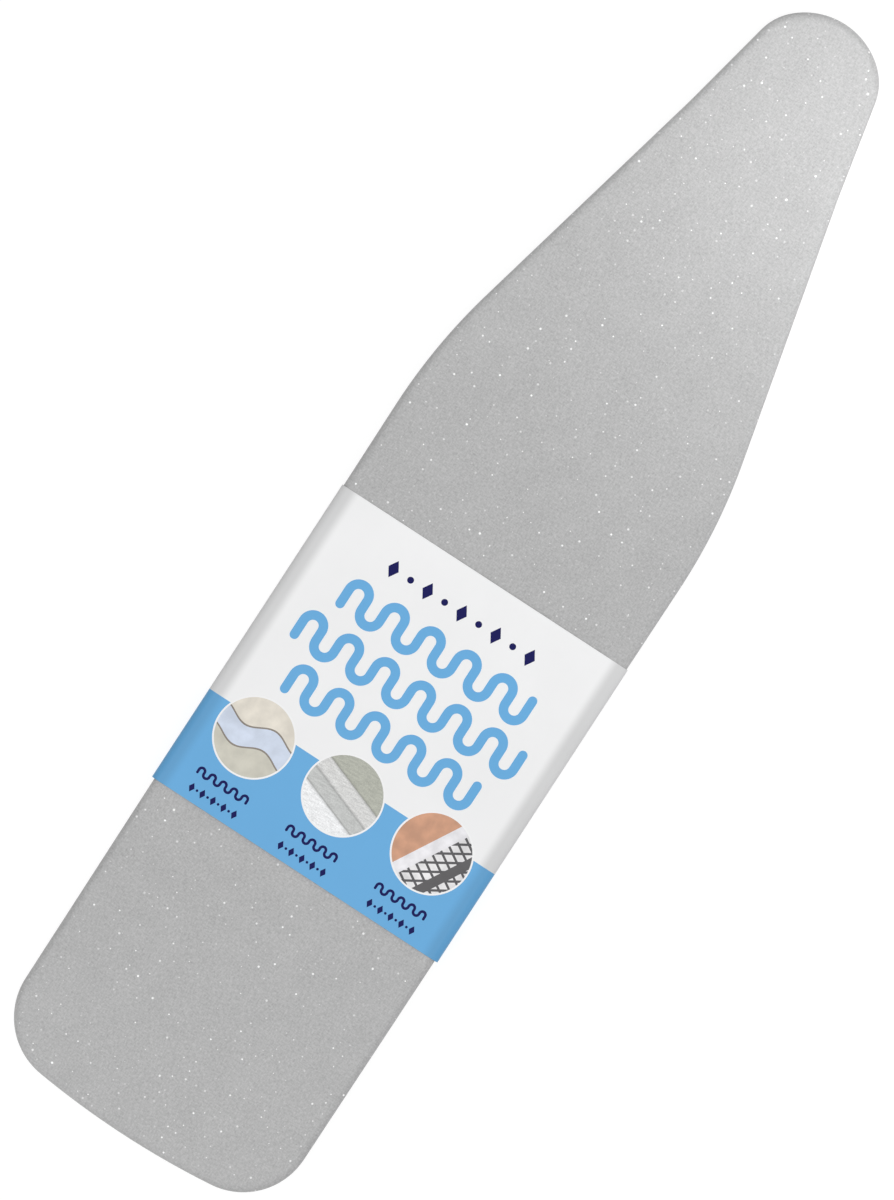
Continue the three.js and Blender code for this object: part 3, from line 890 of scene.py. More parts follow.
class SkirtShape:
    """The sheet in section, from the rim of the flat top over the edge, down the side, round the bend
    and in to the hem, with the gathers of its skirt."""

    def __init__(self, cloth):
        self.cloth = cloth
        self.edge_radius = SHEET_HIGH.z - FELT_LOW.z
        self.skirt_level = HEM_LEVEL - cloth.sheet_thickness / 2
        self.side_low = self.skirt_level + cloth.bend_radius
        self.edge_length = self.edge_radius * QUARTER
        self.side_end = self.edge_length + FELT_LOW.z - self.side_low
        self.bend_end = self.side_end + cloth.bend_radius * QUARTER
        self.hem_end = self.bend_end + HEM_INSET - CASING_RADIUS + cloth.binding_thickness - cloth.bend_radius
        self.lip_start = self.bend_end + LIP_INSET - cloth.bend_radius

    def section(self, way):
        """Inset and level of the outer face at a way along the section, and the direction into the
        pocket there, as its inward and upward parts."""
        radius = self.cloth.bend_radius
        edge = np.clip(way / self.edge_radius, 0, QUARTER)
        bend = np.clip((way - self.side_end) / radius, 0, QUARTER)
        down = np.clip(way - self.edge_length, 0, self.side_end - self.edge_length)
        under = np.clip(way - self.bend_end, 0, None)
        full = self.edge_radius * squarer(edge)
        inset = self.edge_radius - full * np.sin(edge) + radius * (1 - np.cos(bend)) + under
        level = FELT_LOW.z + full * np.cos(edge) - down - radius * np.sin(bend)
        return inset, level, (np.sin(edge) * np.cos(bend), np.sin(bend) - np.cos(edge))

    def gathers(self, plan, way):
        """How far the skirt stands into the pocket, and how far it slides along the hem, at rows of
        ways along the section. One fold is a sine wave round the ring with an uneven phase and height,
        which grows from the side to the hem and is nipped flat in the casing. A second wave, half as
        long, rises near the hem, and the slide tips the folds over."""
        run, total, cloth = plan.run, plan.total, self.cloth
        pitch = total / cloth.fold_count
        phase = FULL * run / pitch + 1.25 * wander(run, total, 0.11, 3) + 0.7 * wander(run, total, 0.037, 4)
        curl = np.maximum(plan.curl, 0)
        hem_scale = np.clip(1 - curl * HEM_INSET, 0.16, 1)
        room = cloth.fold_height * (1 - 0.62 * (1 - hem_scale))
        fullness = np.clip(0.62 + 0.22 * wander(run, total, 0.09, 6) + 6.5e-3 * curl, 0.3, 1)
        rise = ease(way, self.side_end - RISE_START, self.lip_start - RISE_END)
        nip = 1 - 0.9 * ease(way, self.lip_start - NIP_START, self.lip_start + NIP_END)
        small = ease(way, self.bend_end + SECOND_WAVE_START, self.lip_start) * nip
        tall = room * fullness
        lift = (tall * (1 + np.sin(phase)) - cloth.fold_drop) * (rise * nip)
        lift = lift + 0.3 * tall * np.sin(2 * phase + 2.1 * wander(run, total, 0.05, 7)) * small
        lean = cloth.fold_lean * pitch / FULL * hem_scale * wander(run, total, 0.16, 8)
        slide = lean * np.cos(phase) * (rise * nip)
        return lift, slide

    def surface(self, plan, way):
        """Points of the outer face at rows of ways along the section."""
        way = np.asarray(way, float)[:, None]
        inset, level, (inward, upward) = self.section(way)
        lift, slide = self.gathers(plan, way)
        return plan.ring(inset + lift * inward, level + lift * upward, slide)

    def flat_places(self, plan, way):
        """Where each point of the section lay in the flat cloth before it was gathered: straight out
        from the rim of the top by its way along the section."""
        out = np.asarray(way, float)[:, None] - self.edge_radius
        return plan.ring(-out, np.zeros_like(out))


def pad_wave(cloth, x, y, across):
    """The slow rise and dip of the padded face: four crossing sine waves, 90 to 260 mm long, which
    fade out towards the rim. Across is the share of the way from one side to the other."""
    wave = np.sin(24.2 * x + 9.1 * y + 0.4) + np.sin(-17.3 * x + 31.7 * y + 2.1)
    wave = wave + np.sin(41.6 * x - 22.4 * y + 4.4) * 0.6 + np.sin(58.9 * x + 47.1 * y + 1.2) * 0.4
    fade = ease(np.minimum(across, 1 - across), 0, 0.25) * ease(SHEET_HIGH.x - np.abs(x), 0.012, 0.07)
    return cloth.pad_wave * wave * fade / 3


def sheet_rows(shape):
    """Ways along the section for the rings of the sheet: over the edge, down the side, and round the
    bend and the skirt."""
    edge = np.linspace(0, shape.edge_length, 11)
    side = np.linspace(shape.edge_length, shape.side_end, 4)[1:-1]
    bend = np.linspace(shape.side_end, shape.bend_end, 6)
    skirt = np.linspace(shape.bend_end, shape.lip_start, 16)[1:]
    hem = np.linspace(shape.lip_start, shape.hem_end, 4)[1:]
    return np.concatenate([edge, side]), np.concatenate([bend, skirt, hem])


def simulate_skirt(shape, plan, way, points):
    """Lets the skirt settle as cloth: a strip from the side to the hem, cut a little wider than the
    ring it is held on, pinned at the side and in the casing. Each point may move only so far, and
    neither out past the side nor down to the plane that the sleeve lies on."""
    rows, columns = points.shape[:2]
    number = np.arange(rows * columns).reshape(rows, columns)
    strip = new_piece("skirt_strip", points.reshape(-1, 3), [grid_faces(number, True)], [])
    at_side = 1 - ease(way, shape.side_end - SIDE_PIN, shape.bend_end)
    at_hem = ease(way, shape.lip_start - LIP_PIN, shape.lip_start)
    pins = strip.vertex_groups.new(name="held")
    for row, weight in enumerate(np.maximum(at_side, at_hem)):
        if weight > 0:
            pins.add(number[row].tolist(), float(weight), "REPLACE")
    cloth = strip.modifiers.new("Cloth", "CLOTH")
    for name, value in SKIRT_CLOTH.items():
        setattr(cloth.settings, name, value)
    cloth.settings.effector_weights.gravity = 0.0
    cloth.collision_settings.use_collision = False
    cloth.point_cache.frame_start, cloth.point_cache.frame_end = 1, SETTLE_FRAMES
    for frame_number in range(1, SETTLE_FRAMES + 1):
        bpy.context.scene.frame_set(frame_number)
    settled = strip.evaluated_get(bpy.context.evaluated_depsgraph_get())
    moved = np.empty(rows * columns * 3)
    settled.data.vertices.foreach_get("co", moved)
    bpy.context.scene.frame_set(1)
    data = strip.data
    bpy.data.objects.remove(strip)
    bpy.data.meshes.remove(data)
    step = moved.reshape(points.shape) - points
    far = np.linalg.norm(step, axis=-1, keepdims=True)
    step = step * np.minimum(1, SETTLE_REACH / np.maximum(far, 1e-9))
    outward = np.clip(np.sum(step[..., :2] * plan.out, -1, keepdims=True), 0, None)
    step[..., :2] -= outward * plan.out
    settled = points + step
    settled[..., 2] = np.maximum(settled[..., 2], SKIRT_FLOOR)
    return settled


class BOARDCOVER_OT_sheet(bpy.types.Operator):
    """Make the silver sheet, from its flat top to the gathered skirt that turns under"""

    bl_idname = "boardcover.sheet"
    bl_label = "Silver Sheet"

    def execute(self, context):
        cloth = context.scene.cover_cloth
        plan = Plan(context.scene.cover_plan, RING_PLACES)
        coarse = plan.every(2)
        shape = SkirtShape(cloth)
        upper, lower = sheet_rows(shape)
        over_edge = shape.surface(coarse, upper)
        skirt = shape.surface(plan, lower)
        skirt = simulate_skirt(shape, plan, lower, skirt)
        loft = Loft()
        rings = [
            *loft.add(over_edge, shape.flat_places(coarse, upper)),
            *loft.add(skirt, shape.flat_places(plan, lower)),
        ]
        loft.join_all(rings)
        loft.lid(rings[0], over_edge[0], SHEET_STEPS, height=lambda *place: pad_wave(cloth, *place))
        colours = context.scene.cover_colours
        sheet = loft.piece("cover_sheet_cloth", [silver_finish(colours), lining_finish(colours)])
        thicken(sheet, cloth.sheet_thickness).material_offset = 1
        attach(sheet, "cover")
        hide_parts("cover_sheet")
        return {"FINISHED"}


def declare_sheet(context):
    """Works out the plan of the sheet, and does nothing more with it."""
    plan = Plan(context.scene.cover_plan, RING_PLACES)


# The pad


# The gap between foam and felt, how uneven their cut edge is, and how deep the felt's hollows are.
LAYER_GAP = 0.0001
CUT_UNEVENNESS = 0.00012
HOLLOW_DEPTH = 0.00035


def felt_hollows(x, y, _):
    """Shallow hollows in the felt's lower face: the product of two crossing sine waves."""
    return HOLLOW_DEPTH * np.abs(np.sin(31 * x + 3 * y) * np.sin(43 * y - 5 * x))


class BOARDCOVER_OT_pad(bpy.types.Operator):
    """Make the foam layer and the felt under it"""

    bl_idname = "boardcover.pad"
    bl_label = "Foam and Felt"

    def execute(self, context):
        cloth, colours = context.scene.cover_cloth, context.scene.cover_colours
        plan = Plan(context.scene.cover_plan, RING_PLACES).every(4)
        edge = SHEET_HIGH.x - FOAM_HIGH.x + FOAM_HIGH.z - FELT_LOW.z
        turn = np.linspace(0, QUARTER, 9)[:, None]
        uneven = CUT_UNEVENNESS * wander(plan.run, plan.total, 0.05, 11)

        def rounded_edge(radius):
            """Rings of the pad's rounded edge, with a slightly uneven cut at its foot."""
            full = radius * squarer(turn)
            rings = plan.ring(edge - full * np.sin(turn) + uneven, FELT_LOW.z + full * np.cos(turn))
            rings[-1, :, 2] += np.abs(uneven)
            return rings

        foam = Loft()
        outside = rounded_edge(FOAM_HIGH.z - FELT_LOW.z)
        inside = rounded_edge(FELT_HIGH.z - FELT_LOW.z + LAYER_GAP)
        outer, inner = foam.add(outside), foam.add(inside)
        foam.join_all([*outer, *inner[::-1]])
        foam.lid(outer[0], outside[0], PAD_STEPS, height=lambda *place: pad_wave(cloth, *place))
        foam.lid(inner[0], inside[0], PAD_STEPS, facing=-1)
        foam_piece = foam.piece("foam_pad", [foam_finish(colours)])
        felt = Loft()
        rounded = rounded_edge(FELT_HIGH.z - FELT_LOW.z)
        rings = felt.add(rounded)
        felt.join_all(rings)
        felt.lid(rings[0], rounded[0], PAD_STEPS)
        felt.lid(rings[-1], rounded[-1], FELT_STEPS, facing=-1, height=felt_hollows)
        felt_piece = felt.piece("felt_layer", [felt_finish(colours)])
        for piece, node, slot, fill in (
            (foam_piece, "foam_layer", "foam", 0.9),
            (felt_piece, "felt_pad", "felt", 1.0),
        ):
            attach(piece, "cover")
            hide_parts(node)
        return {"FINISHED"}


# The hem


# How much closer the stitches of straps and patches are than those of the hem.
CLOSE_STITCH = 0.75

# A stitch has four rings of so many corners, narrow at both ends. Each ring has its place in half
# lengths, and its radius and how proud it stands in thread radii.
STITCH_CORNERS = 5
STITCH_RINGS = ((-1.0, 0.25, -0.7), (-0.62, 1.0, 0.0), (0.62, 1.0, 0.0), (1.0, 0.25, -0.7))


def capsules(centres, along, up, half_length, radius):
    """Small stitches as one mesh: each is a short rod of four rings, whose middle stands proud.
    Centres, along and up are one row for each stitch."""
    rings = np.array(STITCH_RINGS)
    angle = np.arange(STITCH_CORNERS) * FULL / STITCH_CORNERS
    local = np.stack(np.broadcast_arrays(
        rings[:, :1] * half_length,
        rings[:, 1:2] * radius * np.cos(angle),
        rings[:, 1:2] * radius * np.sin(angle) + rings[:, 2:] * radius,
    ), -1).reshape(-1, 3)
    axes = np.stack([along, np.cross(along, up), up], 1)
    points = centres[:, None] + np.einsum("vk,skc->svc", local, axes)
    number = np.arange(len(local)).reshape(len(rings), STITCH_CORNERS)
    shifts = np.arange(len(centres))[:, None, None] * len(local)
    ends = np.stack([number[0][::-1], number[-1]])[:, ::-1]
    sides = grid_faces(number, True)[:, ::-1]
    faces = [(sides + shifts).reshape(-1, 4), (ends + shifts).reshape(-1, STITCH_CORNERS)]
    return points.reshape(-1, 3), faces


def stitch_line(path, up, pitch):
    """Centres, directions and upward normals of stitches at a pitch along a path of points. A stitch
    lies along the line from a quarter pitch behind it to a quarter pitch ahead."""
    steps = np.linalg.norm(np.diff(path, axis=0), axis=1)
    run = np.concatenate([[0], np.cumsum(steps)])
    at = np.arange(pitch / 2, run[-1] - pitch / 3, pitch)
    behind, centre, ahead = (
        np.stack([np.interp(where, run, part) for part in path.T], 1)
        for where in (at - pitch / 4, at, at + pitch / 4)
    )
    along = unit(ahead - behind)
    normal = np.broadcast_to(np.asarray(up, float), centre.shape)
    return centre, along, unit(normal - along * np.sum(normal * along, 1, keepdims=True))


def stitches(name, lines, cloth, finish):
    """One piece with the stitches of several lines."""
    centres, along, up = (np.concatenate(parts) for parts in zip(*lines))
    points, faces = capsules(centres, along, up, cloth.stitch_length / 2, cloth.thread_radius)
    return new_piece(name, points, faces, [finish])


# The gap between the sheet and the binding's lips. Then how far the straps and their tight stitches
# press the casing and the elastic flat, and how far past a strap's edge that fades out.
LIP_GAP = 0.0001
PRESS_FADE = 0.008
CASING_PRESS = 0.14
ELASTIC_PRESS = 0.08
ELASTIC_CORNERS = 12


def strap_nip(plan):
    """1 where a strap is sewn to the hem, and 0 away from it, round the ring."""
    nip = np.zeros(len(plan.place))
    hem = plan.place - plan.out * HEM_INSET
    for where in STRAP_PLACES:
        low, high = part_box(f"{where}_strap_web")
        middle, half = middle_and_half(low.x, high.x)
        nip = np.maximum(nip, 1 - ease(np.abs(hem[:, 0] - middle), half, half + PRESS_FADE))
    return nip * (np.abs(plan.out[:, 1]) > 0.5)


def casing_section(cloth):
    """The binding in section, as outward and upward distances from the middle of its tunnel, over the
    outside from the upper lip to the lower, and back along the inside, with the share of each point
    that belongs to the tunnel."""
    half = cloth.sheet_thickness / 2 + LIP_GAP
    reach = HEM_INSET - LIP_INSET

    def path(radius, gap, count):
        """The upper lip, count points round the tunnel, and the lower lip, with their shares."""
        mouth = math.pi - math.asin(gap / radius)
        angle = np.linspace(mouth, -mouth, count)
        lip = np.linspace(reach, -radius * math.cos(mouth), 5)[:-1]
        level = np.full(len(lip), gap)
        turn = np.stack([-radius * np.cos(angle), radius * np.sin(angle)], 1)
        tunnel = 0.25 + 0.75 * (0.5 - 0.5 * np.cos(np.linspace(0, FULL, count)))
        line = [np.stack([lip, level], 1), turn, np.stack([lip[::-1], -level], 1)]
        return np.concatenate(line), np.concatenate([0 * lip, tunnel, 0 * lip])

    outside, outside_share = path(CASING_RADIUS, half + cloth.binding_thickness, 9)
    inside, inside_share = path(CASING_RADIUS - cloth.binding_thickness, half, 7)
    return np.concatenate([outside, inside[::-1]]), np.concatenate([outside_share, inside_share[::-1]])


class BOARDCOVER_OT_hem(bpy.types.Operator):
    """Make the ruched hem casing, the elastic in it and its stitches"""

    bl_idname = "boardcover.hem"
    bl_label = "Hem and Elastic"

    def execute(self, context):
        self.cloth, self.colours = context.scene.cover_cloth, context.scene.cover_colours
        self.plan = Plan(context.scene.cover_plan, CASING_PLACES)
        self.shape = SkirtShape(self.cloth)
        self.casing()
        self.seam()
        self.elastic()
        return {"FINISHED"}

    def casing(self):
        """The binding. Its lips follow the gathers, and its tunnel swells and shrinks in ruches, which
        are a sine wave round the ring with an uneven phase and height."""
        cloth, run, total = self.cloth, self.plan.run, self.plan.total
        section, share_of_tunnel = casing_section(cloth)
        tunnel = share_of_tunnel[:, None]
        inset = HEM_INSET - section[:, :1]
        way = self.shape.bend_end + np.maximum(inset, cloth.bend_radius) - cloth.bend_radius
        lift, slide = self.shape.gathers(self.plan, way)
        ruches = np.rint(total / cloth.ruche_pitch)
        phase = FULL * ruches * run / total + 1.6 * wander(run, total, 0.08, 21)
        ruche = cloth.ruche_height * (0.55 + 0.45 * wander(run, total, 0.03, 22)) * np.sin(phase)
        swell = 1 + (ruche / CASING_RADIUS) * tunnel
        pressed = 1 - CASING_PRESS * strap_nip(self.plan) * tunnel
        level = HEM_LEVEL + section[:, 1:] * swell * pressed + lift * (1 - tunnel)
        loft = Loft()
        loft.tube(self.plan.ring(HEM_INSET - section[:, :1] * swell, level, slide * (1 - tunnel)))
        casing = loft.piece("hem_binding", [binding_finish(self.colours)])
        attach(casing, "cover")
        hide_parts("hem_casing")

    def seam(self):
        """The row of stitches through the lips, as it shows above and below."""
        cloth = self.cloth
        half = cloth.sheet_thickness / 2 + LIP_GAP + cloth.binding_thickness
        inset = (LIP_INSET + HEM_INSET - CASING_RADIUS) / 2
        way = self.shape.bend_end + inset - cloth.bend_radius
        lift, slide = self.shape.gathers(self.plan, np.array([[way]]))
        lines = []
        for side in (-1, 1):
            path = self.plan.ring(inset, HEM_LEVEL + lift + side * half, slide)[0]
            lines.append(stitch_line(np.concatenate([path, path[:1]]), (0, 0, side), cloth.stitch_pitch))
        seam = stitches("hem_stitches", lines, cloth, thread_finish(self.colours))
        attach(seam, "cover")

    def elastic(self):
        """The elastic cord, a closed round tube."""
        plan = self.plan.every(2)
        angle = np.arange(ELASTIC_CORNERS)[:, None] * FULL / ELASTIC_CORNERS
        pressed = 1 - ELASTIC_PRESS * strap_nip(plan)
        level = HEM_LEVEL + ELASTIC_RADIUS * np.cos(angle) * pressed
        cord = plan.ring(HEM_INSET - ELASTIC_RADIUS * np.sin(angle), level)
        place = np.stack(np.broadcast_arrays(plan.run, angle * ELASTIC_RADIUS, 0.0), -1)
        loft = Loft()
        loft.tube(cord, place)
        elastic = loft.piece("hem_elastic_cord", [elastic_finish(self.colours)])
        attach(elastic, "cover")
        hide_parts("hem_elastic")


# The straps


# Points along one straight row of stitches on a web.
SEAM_POINTS = 14

# Where a web is sewn. It starts to climb this far before the casing's tunnel and lies on it just before
# its edge, and it comes down to the casing's lip past the tunnel. The gaps keep its faces apart.
CLIMB_START = 0.011
CLIMB_END = 0.0005
DROP_START = 0.0006
DROP_END = 0.0022
TUNNEL_SHARE = 0.87
TUNNEL_GAP = 0.00005
WEB_LIP_GAP = 0.00025

# A web has so many columns on each face, and finer rows from this far before the tunnel's edge.
WEB_COLUMNS = 9
FINE_ROWS = 0.012

# The sewn box and the row across: their half width as a share of the web's, and their distances from
# the tunnel, from the web's end and from the casing.
BOX_SHARE = 0.82
BOX_START = 0.0026
BOX_MARGIN = 0.0009
ROW_SHARE = 0.85
ROW_PLACE = 0.0012

# A patch's edge in rings: the share of its thickness, and how far each is drawn in.
PATCH_RINGS = ((0.0, 0.0), (0.7, 0.0), (1.0, 0.00035), (1.02, 0.0022), (1.04, 0.0040))
HOOK_TAPE_SHARE = 0.48
LOOP_TAPE_SHARE = 0.85
LOOP_BUMPS = 0.10
HOOK_MARGIN = 0.0022
PATCH_STITCH_INSET = 0.0013

# A hook's middle line, sideways and up, and its half thickness there, in hook heights.
HOOK_LINE = ((0.0, -0.15), (0.02, 0.45), (0.10, 0.80), (0.32, 0.97), (0.58, 0.86), (0.68, 0.62))
HOOK_THICKNESS = (0.20, 0.17, 0.15, 0.14, 0.12, 0.06)


def box_stitch(surface, low, high, side, pitch):
    """Stitch lines of a box with a cross in it. Surface gives points from the share of the way across
    and the way along, and low and high are two corners in those."""
    corners = np.array([[low[0], low[1]], [high[0], low[1]], [high[0], high[1]], [low[0], high[1]]])
    lines = []
    for start, end in ((0, 1), (1, 2), (2, 3), (3, 0), (0, 2), (1, 3)):
        path = np.linspace(corners[start], corners[end], SEAM_POINTS)
        lines.append(stitch_line(surface(path[:, 0], path[:, 1]), (0, 0, side), pitch))
    return lines


def patch_outline(half_wide, half_long, radius):
    """A rectangle with rounded corners, anticlockwise."""
    points = []
    for quarter, (x, y) in enumerate(((1, 1), (-1, 1), (-1, -1), (1, -1))):
        angle = np.linspace(0, QUARTER, 5) + quarter * QUARTER
        points.append(np.stack([
            x * (half_wide - radius) + radius * np.cos(angle),
            y * (half_long - radius) + radius * np.sin(angle),
        ], 1))
    return np.concatenate(points)


def hook_field(low, high, level, up, sizes):
    """Moulded hooks in rows: each is a stem of four sides that rises, curls over and comes down, and
    rows lean to either side in turn."""
    xs = np.arange(low.x + HOOK_MARGIN, high.x - HOOK_MARGIN, sizes.hook_pitch)
    ys = np.arange(low.y + HOOK_MARGIN, high.y - HOOK_MARGIN, sizes.hook_pitch)
    grid_x, grid_y = np.meshgrid(xs, ys)
    lean = np.repeat(np.where(np.arange(len(ys)) % 2, 1.0, -1.0), len(xs))
    feet = np.stack([grid_x.ravel(), grid_y.ravel(), np.full(grid_x.size, level)], 1)
    line, thick = np.array(HOOK_LINE), np.array(HOOK_THICKNESS)[:, None]
    angle = np.arange(4) * QUARTER + QUARTER / 2
    across, aside = np.sin(angle) * thick, np.cos(angle) * thick
    ahead = unit(np.gradient(line, axis=0))
    sideways = line[:, :1] - aside * ahead[:, 1:]
    upwards = line[:, 1:] + aside * ahead[:, :1]
    local = np.stack([across, sideways, upwards], -1).reshape(-1, 3) * sizes.hook_height
    turned = np.repeat(local[None], len(feet), 0)
    turned[..., 1] *= lean[:, None]
    turned[..., 2] *= up
    number = np.arange(len(local)).reshape(len(line), 4)
    faces = np.concatenate([grid_faces(number, True), number[:1], number[-1:, ::-1]])
    shifted = faces[None] + np.arange(len(feet))[:, None, None] * len(local)
    flipped = (lean * up < 0)[:, None, None]
    points = feet[:, None] + turned
    return points.reshape(-1, 3), np.where(flipped, shifted, shifted[..., ::-1]).reshape(-1, 4)


def face_outwards(piece):
    """Turns the faces of a closed mesh outwards."""
    work = bmesh.new()
    work.from_mesh(piece.data)
    bmesh.ops.recalc_face_normals(work, faces=work.faces)
    work.to_mesh(piece.data)
    work.free()


class BOARDCOVER_OT_straps(bpy.types.Operator):
    """Make the three straps and tabs with their hook and loop patches and their stitches"""

    bl_idname = "boardcover.straps"
    bl_label = "Straps"

    def execute(self, context):
        colours = context.scene.cover_colours
        self.cloth, self.sizes = context.scene.cover_cloth, context.scene.cover_straps
        self.plan = Plan(context.scene.cover_plan, RING_PLACES)
        self.tape, self.thread = tape_finish(colours), thread_finish(colours)
        self.hooks, self.loops = hook_finish(colours), loop_finish(colours)
        self.pitch = self.cloth.stitch_pitch * CLOSE_STITCH
        for where in STRAP_PLACES:
            self.web(f"{where}_strap", -1)
            self.web(f"{where}_tab", 1)
            self.patch(f"{where}_strap", "hook", 1)
            self.patch(f"{where}_tab", "loop", -1)
        return {"FINISHED"}

    def web(self, body, side):
        """One web, from its sewn end on the hem to its free end. Its rows run straight across at the
        free end and along the hem where it is sewn. From its own level it eases over the tunnel of the
        casing, and past the tunnel it comes back to the casing's lip."""
        low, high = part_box(f"{body}_web")
        x, half = middle_and_half(low.x, high.x)
        level, thickness = (low.z + high.z) / 2, high.z - low.z
        sewn_thick = self.sizes.sewn_thickness
        before, root, after = (
            self.plan.half_width_at(x + across, HEM_INSET + CASING_RADIUS) for across in (-half, 0, half)
        )
        slant = (after - before) / 2
        past_tunnel = root + 2 * CASING_RADIUS
        free = high.y if side < 0 else -low.y
        over = CASING_RADIUS * TUNNEL_SHARE + sewn_thick / 2 + TUNNEL_GAP
        lip = self.cloth.sheet_thickness / 2 + self.cloth.binding_thickness + sewn_thick / 2 + WEB_LIP_GAP
        radius = self.sizes.end_radius

        def surface(across, reach, face):
            """Points of the web: across from -1 to 1, reach from the centre line, face from -1, its
            underside, to 1. The level and the slant of the rows ease in with the reach."""
            sewn = ease(reach, root - CLIMB_START, root - CLIMB_END)
            past = ease(reach, past_tunnel - DROP_START, past_tunnel + DROP_END)
            middle = level + (HEM_LEVEL + side * over - level) * sewn - side * (over - lip) * past
            thick = thickness + (sewn_thick - thickness) * sewn
            from_end = np.clip(reach + free, 0, radius)
            narrow = radius - np.sqrt(np.maximum(radius**2 - (radius - from_end) ** 2, 0))
            round_edge = np.sqrt(1 - 0.3 * across**8)
            points = np.broadcast_arrays(
                x + across * (half - narrow),
                side * (reach + slant * across * sewn),
                middle + face * round_edge * thick / 2,
            )
            return np.stack(points, -1)

        far = root + self.sizes.sewn_length
        reach = np.concatenate([
            np.linspace(far, root - FINE_ROWS, 34),
            np.linspace(root - FINE_ROWS, radius - free, 40)[1:],
            radius * (1 - np.sin(np.linspace(0, QUARTER, 8)[1:])) - free,
        ])[:, None]
        spread = np.concatenate([np.linspace(-1, 1, WEB_COLUMNS), np.linspace(1, -1, WEB_COLUMNS)])
        points = surface(spread, reach, np.repeat([1.0, -1.0], WEB_COLUMNS))
        place = np.stack(np.broadcast_arrays(spread * half, reach, 0.0), -1)
        loft = Loft()
        rings = loft.add(points, place)
        loft.join_all(rings)
        loft.faces += [rings[0][None], rings[-1][::-1][None]]
        web = loft.piece(f"{body}_tape", [self.tape])
        face_outwards(web)
        joint = next(j for j in frame["joints"] if j["child"] == body)
        pivot, axis = np.array(joint["pos_m"]), np.array(joint["axis"])
        inward = unit(np.cross(axis, [0, 0, 1.0]))
        inward = inward * (-1 if inward[1] * side > 0 else 1)
        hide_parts(f"{body}_web")
        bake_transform(web)

        box = ((-BOX_SHARE, past_tunnel + BOX_START), (BOX_SHARE, far - BOX_MARGIN))
        lines = box_stitch(lambda across, reach: surface(across, reach, side), *box, side, self.pitch)
        row = np.linspace(-ROW_SHARE, ROW_SHARE, SEAM_POINTS)
        lines.append(stitch_line(surface(row, root - ROW_PLACE, side), (0, 0, side), self.pitch))
        sewing = stitches(f"{body}_box_stitch", lines, self.cloth, self.thread)
        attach(sewing, "cover")

    def patch(self, body, kind, up):
        """A hook or loop patch with its row of edge stitches. Up is the way that its face looks. Its
        rings are the outline drawn in, and its face is more of them towards the middle, with small
        bumps where it is made of loops."""
        node = f"{body}_{kind}_patch"
        low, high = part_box(node)
        (x, half_wide), (y, half_long) = middle_and_half(low.x, high.x), middle_and_half(low.y, high.y)
        centre, halves = np.array([x, y]), np.array([half_wide, half_long])
        base = low.z if up > 0 else high.z
        thickness = (high.z - low.z) * (HOOK_TAPE_SHARE if kind == "hook" else LOOP_TAPE_SHARE)
        bumpiness = thickness * (LOOP_BUMPS if kind == "loop" else 0.0)
        outline = patch_outline(half_wide, half_long, self.sizes.patch_corner_radius)

        def ring(draw_in, share_up):
            """The outline drawn in, at a share of the patch's thickness."""
            flat = centre + outline * (1 - draw_in / halves)
            return np.column_stack([flat, np.full(len(flat), base + up * thickness * share_up)])

        edge = [ring(draw_in, share_up) for share_up, draw_in in PATCH_RINGS]
        dice = np.random.default_rng(31)
        for step in np.linspace(0.92, 0.0, 9)[:-1]:
            inner = edge[len(PATCH_RINGS) - 1].copy()
            inner[:, :2] = centre + (inner[:, :2] - centre) * step
            inner[:, 2] += up * dice.uniform(-1, 1, len(inner)) * bumpiness
            edge.append(inner)
        loft = Loft()
        rings = loft.add(np.array(edge))
        loft.join_all(rings)
        loft.faces += [rings[-1:], rings[:1, ::-1]]
        finish = self.hooks if kind == "hook" else self.loops
        patch = loft.piece(f"{body}_{kind}_tape", [finish])
        face_outwards(patch)
        if kind == "hook":
            points, faces = hook_field(low, high, base + up * thickness, up, self.sizes)
            field = new_piece(f"{body}_hooks", points, [faces], [finish])
            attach(field, body)
        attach(patch, body)
        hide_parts(node)
        path = ring(PATCH_STITCH_INSET, 1)
        line = stitch_line(np.concatenate([path, path[:1]]), (0, 0, up), self.pitch)
        sewing = stitches(f"{body}_patch_stitch", [line], self.cloth, self.thread)
        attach(sewing, body)


# The sleeve and its print


# How far the lap's upper layer stands off the glue, and how far the card lifts at its two cut ends and
# between them. The lift fades out between two distances from the sleeve's sides.
LAP_GAP = 0.0002
END_LIFT = 0.0010
BROAD_LIFT = 0.00030
LIFT_FADE_START = 0.04
LIFT_FADE_END = 0.011
LEVEL_SLACK = 1e-5

# The glue: how far it stands off the card, and how thick its skin is, as a share of its height.
GLUE_GAP = 0.00004
GLUE_SKIN = 0.6


